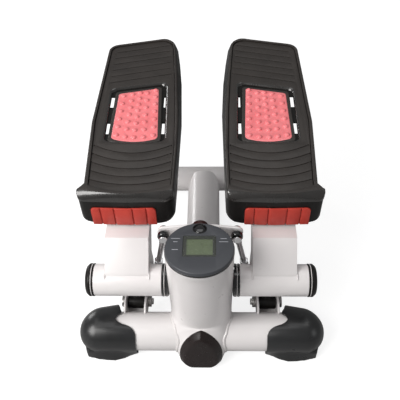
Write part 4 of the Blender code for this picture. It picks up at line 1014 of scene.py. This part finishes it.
def groove_cutters(top):
    """The tread's five bowed grooves at the toe, with a round stop at each end, and six straight ones."""
    cutters = []
    toe_rows = zip((0.1014, 0.1168, 0.1328, 0.1487, 0.1653), (0.1122, 0.1295, 0.1465, 0.164, 0.1817))
    for middle, end in toe_rows:
        path = []
        for k in range(33):
            s = -1 + 2 * k / 32
            path.append((0.1033 + 0.0575 * s, middle + (end - middle) * s * s))
        cutters.append(groove(path, top, GROOVE_DEPTH, 0.0008, 0.0006))
        for s in (-1, 1):
            cutters.append(turned([(0, -0.002), (0.0013, -0.002), (0.0015, 0.0012), (0, 0.0012)],
                (0.1033 + 0.0587 * s, end - RIM_TOE_Y, top), Z_AXIS, 12))
    for k in range(6):
        outer = Vector((0.1541 + 0.00086 * k, 0.4189 - 0.01724 * k))
        inner = Vector((0.0581 - 0.00152 * k, 0.4408 - 0.01666 * k))
        path = [tuple(inner.lerp(outer, i / 24)) for i in range(25)]
        cutters.append(groove(path, top, GROOVE_DEPTH, 0.0009, 0.0006))
    return cutters


def make_tread(side):
    top = -0.0022
    rings = [level(recess_ring(0.0006), -TREAD_DEPTH + 0.0003), level(recess_ring(0.0006), top - 0.0012),
        level(recess_ring(0.0008), top - 0.0005), level(recess_ring(0.0013), top - 0.0001),
        level(recess_ring(0.0019), top)]
    slab = loft(rings)
    opening = loft([level(window_ring(0.003), -0.008), level(window_ring(0.003), top - 0.0034),
        level(window_ring(0.0022), top - 0.002), level(window_ring(0.0012), top - 0.0008),
        level(window_ring(0.0), top - 0.0001), level(window_ring(-0.0006), top + 0.001)])
    cut(slab, opening)
    for cutter in groove_cutters(top):
        cut(slab, cutter)
    bevelled(slab, 0.0002, 2, 28)
    stand_in(on_pedal(slab), "tread", "pedal_arm", "tread_rubber", side=side)


# The pad's columns of dimples, from the outer one to the inner one: heel end, toe end, how far the middle
# of the column shifts to the heel, and how many dimples it has
BUMP_COLUMNS = (((0.129, 0.2969), (0.1316, 0.2042), 0.0001, 6),
                ((0.1146, 0.3022), (0.1173, 0.2003), 0.0006, 7),
                ((0.1022, 0.3057), (0.104, 0.1986), 0.0019, 8),
                ((0.0906, 0.3048), (0.0891, 0.1994), -0.001, 7),
                ((0.077, 0.312), (0.0742, 0.2032), 0.0018, 7))
BUMP_R, BUMP_HEIGHT = 0.0043, 0.0029


def make_pad(side):
    base = -0.0023
    rings = [level(pad_ring(0), -TREAD_DEPTH + 0.0003), level(pad_ring(0), base - 0.0012),
        level(pad_ring(0.0003), base - 0.0005), level(pad_ring(0.0009), base - 0.0001),
        level(pad_ring(0.0018), base)]
    pad = loft(rings)
    profile = [(0, -0.0015), (BUMP_R + 0.0007, -0.0015), (BUMP_R + 0.0007, -2e-5), (BUMP_R + 0.0004, 4e-5),
        (BUMP_R, 0.0002)]
    for k in range(1, 8):
        a = math.radians(90 * k / 8)
        profile.append((BUMP_R * math.cos(a) * 0.965, 0.0002 + (BUMP_HEIGHT - 0.0002) * math.sin(a)))
    profile.append((0, BUMP_HEIGHT))
    bumps = []
    for heel, toe, shift, count in BUMP_COLUMNS:
        for k in range(count):
            share = k / (count - 1)
            x, y = Vector(heel).lerp(Vector(toe), share) + Vector((0, shift * 4 * share * (1 - share)))
            bumps.append(turned(profile, (x, y - RIM_TOE_Y, base), Z_AXIS, 28))
    combine(pad, joined(bumps), "UNION")
    stand_in(on_pedal(pad), "massage_pad", "pedal_arm", "coral_rubber", side=side)


def make_toe_insert(side):
    mid, half = 0.111, 0.047
    depth_front, depth_back = -0.0019, 0.0009
    corners = [(mid - half, -SKIRT_TOE + 0.0006, 0.0008), (mid + half, -SKIRT_TOE + 0.0006, 0.0008),
        (mid + half, -0.026, 0.006), (mid - half, -0.026, 0.006)]
    outline = ring_of(corners, 6, 12)

    def sheet(depth, inset):
        points = []
        for x, z in outline:
            bow = TOE_BOW * min(1, abs(x - PEDAL_MID_X) / PEDAL_HALF)
            x = mid + (x - mid) * (1 - inset / half)
            z = -0.044 + (z + 0.044) * (1 - inset / 0.018)
            points.append(Vector((x, TOE_FRONT + bow - RIM_TOE_Y + depth, z)))
        return points

    strip = loft([sheet(depth_back, 0), sheet(depth_front + 0.0008, 0), sheet(depth_front + 0.0003, 0.0002),
        sheet(depth_front, 0.0008)])
    for offset in (-0.0333, -0.0134, 0.0134, 0.0333):
        x = mid + offset
        edges = [(x - 0.0012, 0.0), (x + 0.0012, 0.0), (x + 0.0007, 0.0023), (x - 0.0007, 0.0023)]
        front = TOE_FRONT - RIM_TOE_Y + depth_front - 0.0004 + TOE_BOW * abs(x - PEDAL_MID_X) / PEDAL_HALF
        cut(strip, prism([(px, front + depth) for px, depth in edges], -0.07, -0.02))
    bevelled(strip, 0.0004, 2, 30)
    stand_in(on_pedal(strip), "toe_insert", "pedal_arm", "red_plastic", side=side)


def make_pedals():
    for side in SIDES:
        shell = joined([pedal_shell(), deck_plate()])
        stand_in(on_pedal(shell), "pedal_shell", "pedal_arm", "black_plastic", side=side)
        plinth = loft([level(pad_ring(-0.0052), -TREAD_DEPTH + 0.0001), level(pad_ring(-0.005), -0.0036),
            level(pad_ring(-0.0044), -0.003), level(pad_ring(-0.0034), -0.0028),
            level(pad_ring(0.003), -0.0028)])
        place(on_pedal(plinth), "pad_plinth", "pedal_arm", "tread_rubber", side=side)
        place(on_pedal(toe_lip()), "toe_lip", "pedal_arm", "black_plastic", side=side, look=LIP)
        place(on_pedal(rim()), "pedal_rim", "pedal_arm", "tread_rubber", side=side)
        place(on_pedal(window_bead()), "window_bead", "pedal_arm", "black_plastic", side=side, look=LIP)
        make_tread(side)
        make_pad(side)
        make_toe_insert(side)


# ---------------------------------------------------------------- camera, lights and floor

CAMERA_SPOT, CAMERA_LENS = (0.0191, -0.6953, 0.8364), 52.36      # row metres; millimetres on a 36 mm sensor
CAMERA_TURNS = (45.86, -1.93, -1.38)                                # degrees down, aside and rolled


def make_camera():
    pitch, yaw, roll = (math.radians(turn) for turn in CAMERA_TURNS)
    forward = Vector((math.sin(yaw) * math.cos(pitch), math.cos(yaw) * math.cos(pitch), -math.sin(pitch)))
    right = Vector((math.cos(yaw), -math.sin(yaw), 0))
    up = right.cross(forward)
    across = right * math.cos(roll) + up * math.sin(roll)
    upright = up * math.cos(roll) - right * math.sin(roll)
    data = bpy.data.cameras.new("camera")
    data.lens, data.sensor_width = CAMERA_LENS, 36.0
    camera = bpy.data.objects.new("camera", data)
    COLLECTION.objects.link(camera)
    camera.matrix_world = Matrix.Translation(CAMERA_SPOT) @ Matrix((across, upright,
        -forward)).transposed().to_4x4()
    bpy.context.scene.camera = camera


def softbox(name, spot, target, width, height, watts, colour=(1, 1, 1)):
    data = bpy.data.lights.new(name, "AREA")
    data.shape, data.size, data.size_y = "RECTANGLE", width, height
    data.energy, data.color = watts, colour
    light = bpy.data.objects.new(name, data)
    COLLECTION.objects.link(light)
    light.location = spot
    light.rotation_euler = (Vector(target) - Vector(spot)).to_track_quat("-Z", "Y").to_euler()


def make_studio():
    softbox("key", (-1.06, -0.92, 1.24), (-0.05, -0.1, 0.2), 1.1, 1.1, 32, (1, 0.985, 0.97))
    softbox("rear_left", (-1.15, 1.0, 0.42), (-0.1, 0.1, 0.26), 0.5, 0.4, 5)
    softbox("top", (0, 0.3, 1.9), (0, 0, 0.1), 1.6, 1.2, 9)
    softbox("fill", (1.5, -0.9, 0.9), (0, 0, 0.15), 0.8, 0.8, 2, (0.97, 0.985, 1))
    world = bpy.data.worlds.new("studio")
    world.use_nodes = True
    world.node_tree.nodes["Background"].inputs["Color"].default_value = (1, 1, 1, 1)
    world.node_tree.nodes["Background"].inputs["Strength"].default_value = 0.25
    bpy.context.scene.world = world
    shape = bmesh.new()
    bmesh.ops.create_grid(shape, x_segments=2, y_segments=2, size=6)
    bmesh.ops.translate(shape, vec=(0, 0, -0.0005), verts=shape.verts)
    floor = from_bmesh(shape, "studio_floor")
    look = surface("studio_floor", (0.4, 0.4, 0.4), 0.7, second=(0.39, 0.39, 0.39), grain=300.0, specular=0.2)
    floor.data.materials.append(look)
    tree = look.node_tree
    path = tree.nodes.new("ShaderNodeLightPath")
    glow = tree.nodes["Principled BSDF"].inputs
    glow["Emission Color"].default_value = (1, 1, 1, 1)
    brighter = tree.nodes.new("ShaderNodeMath")
    brighter.operation = "MULTIPLY"
    brighter.inputs[1].default_value = 0.78
    tree.links.new(path.outputs["Is Camera Ray"], brighter.inputs[0])
    tree.links.new(brighter.outputs[0], glow["Emission Strength"])
    bpy.context.scene.view_settings.view_transform = "Standard"


# ---------------------------------------------------------------- assembly

paint_cad_nodes()
make_camera()
make_studio()
make_base()
make_column()
make_nose_cap()
make_console()
make_rocker()
make_tie_rods()
make_arms()
make_dampers()
make_pedals()
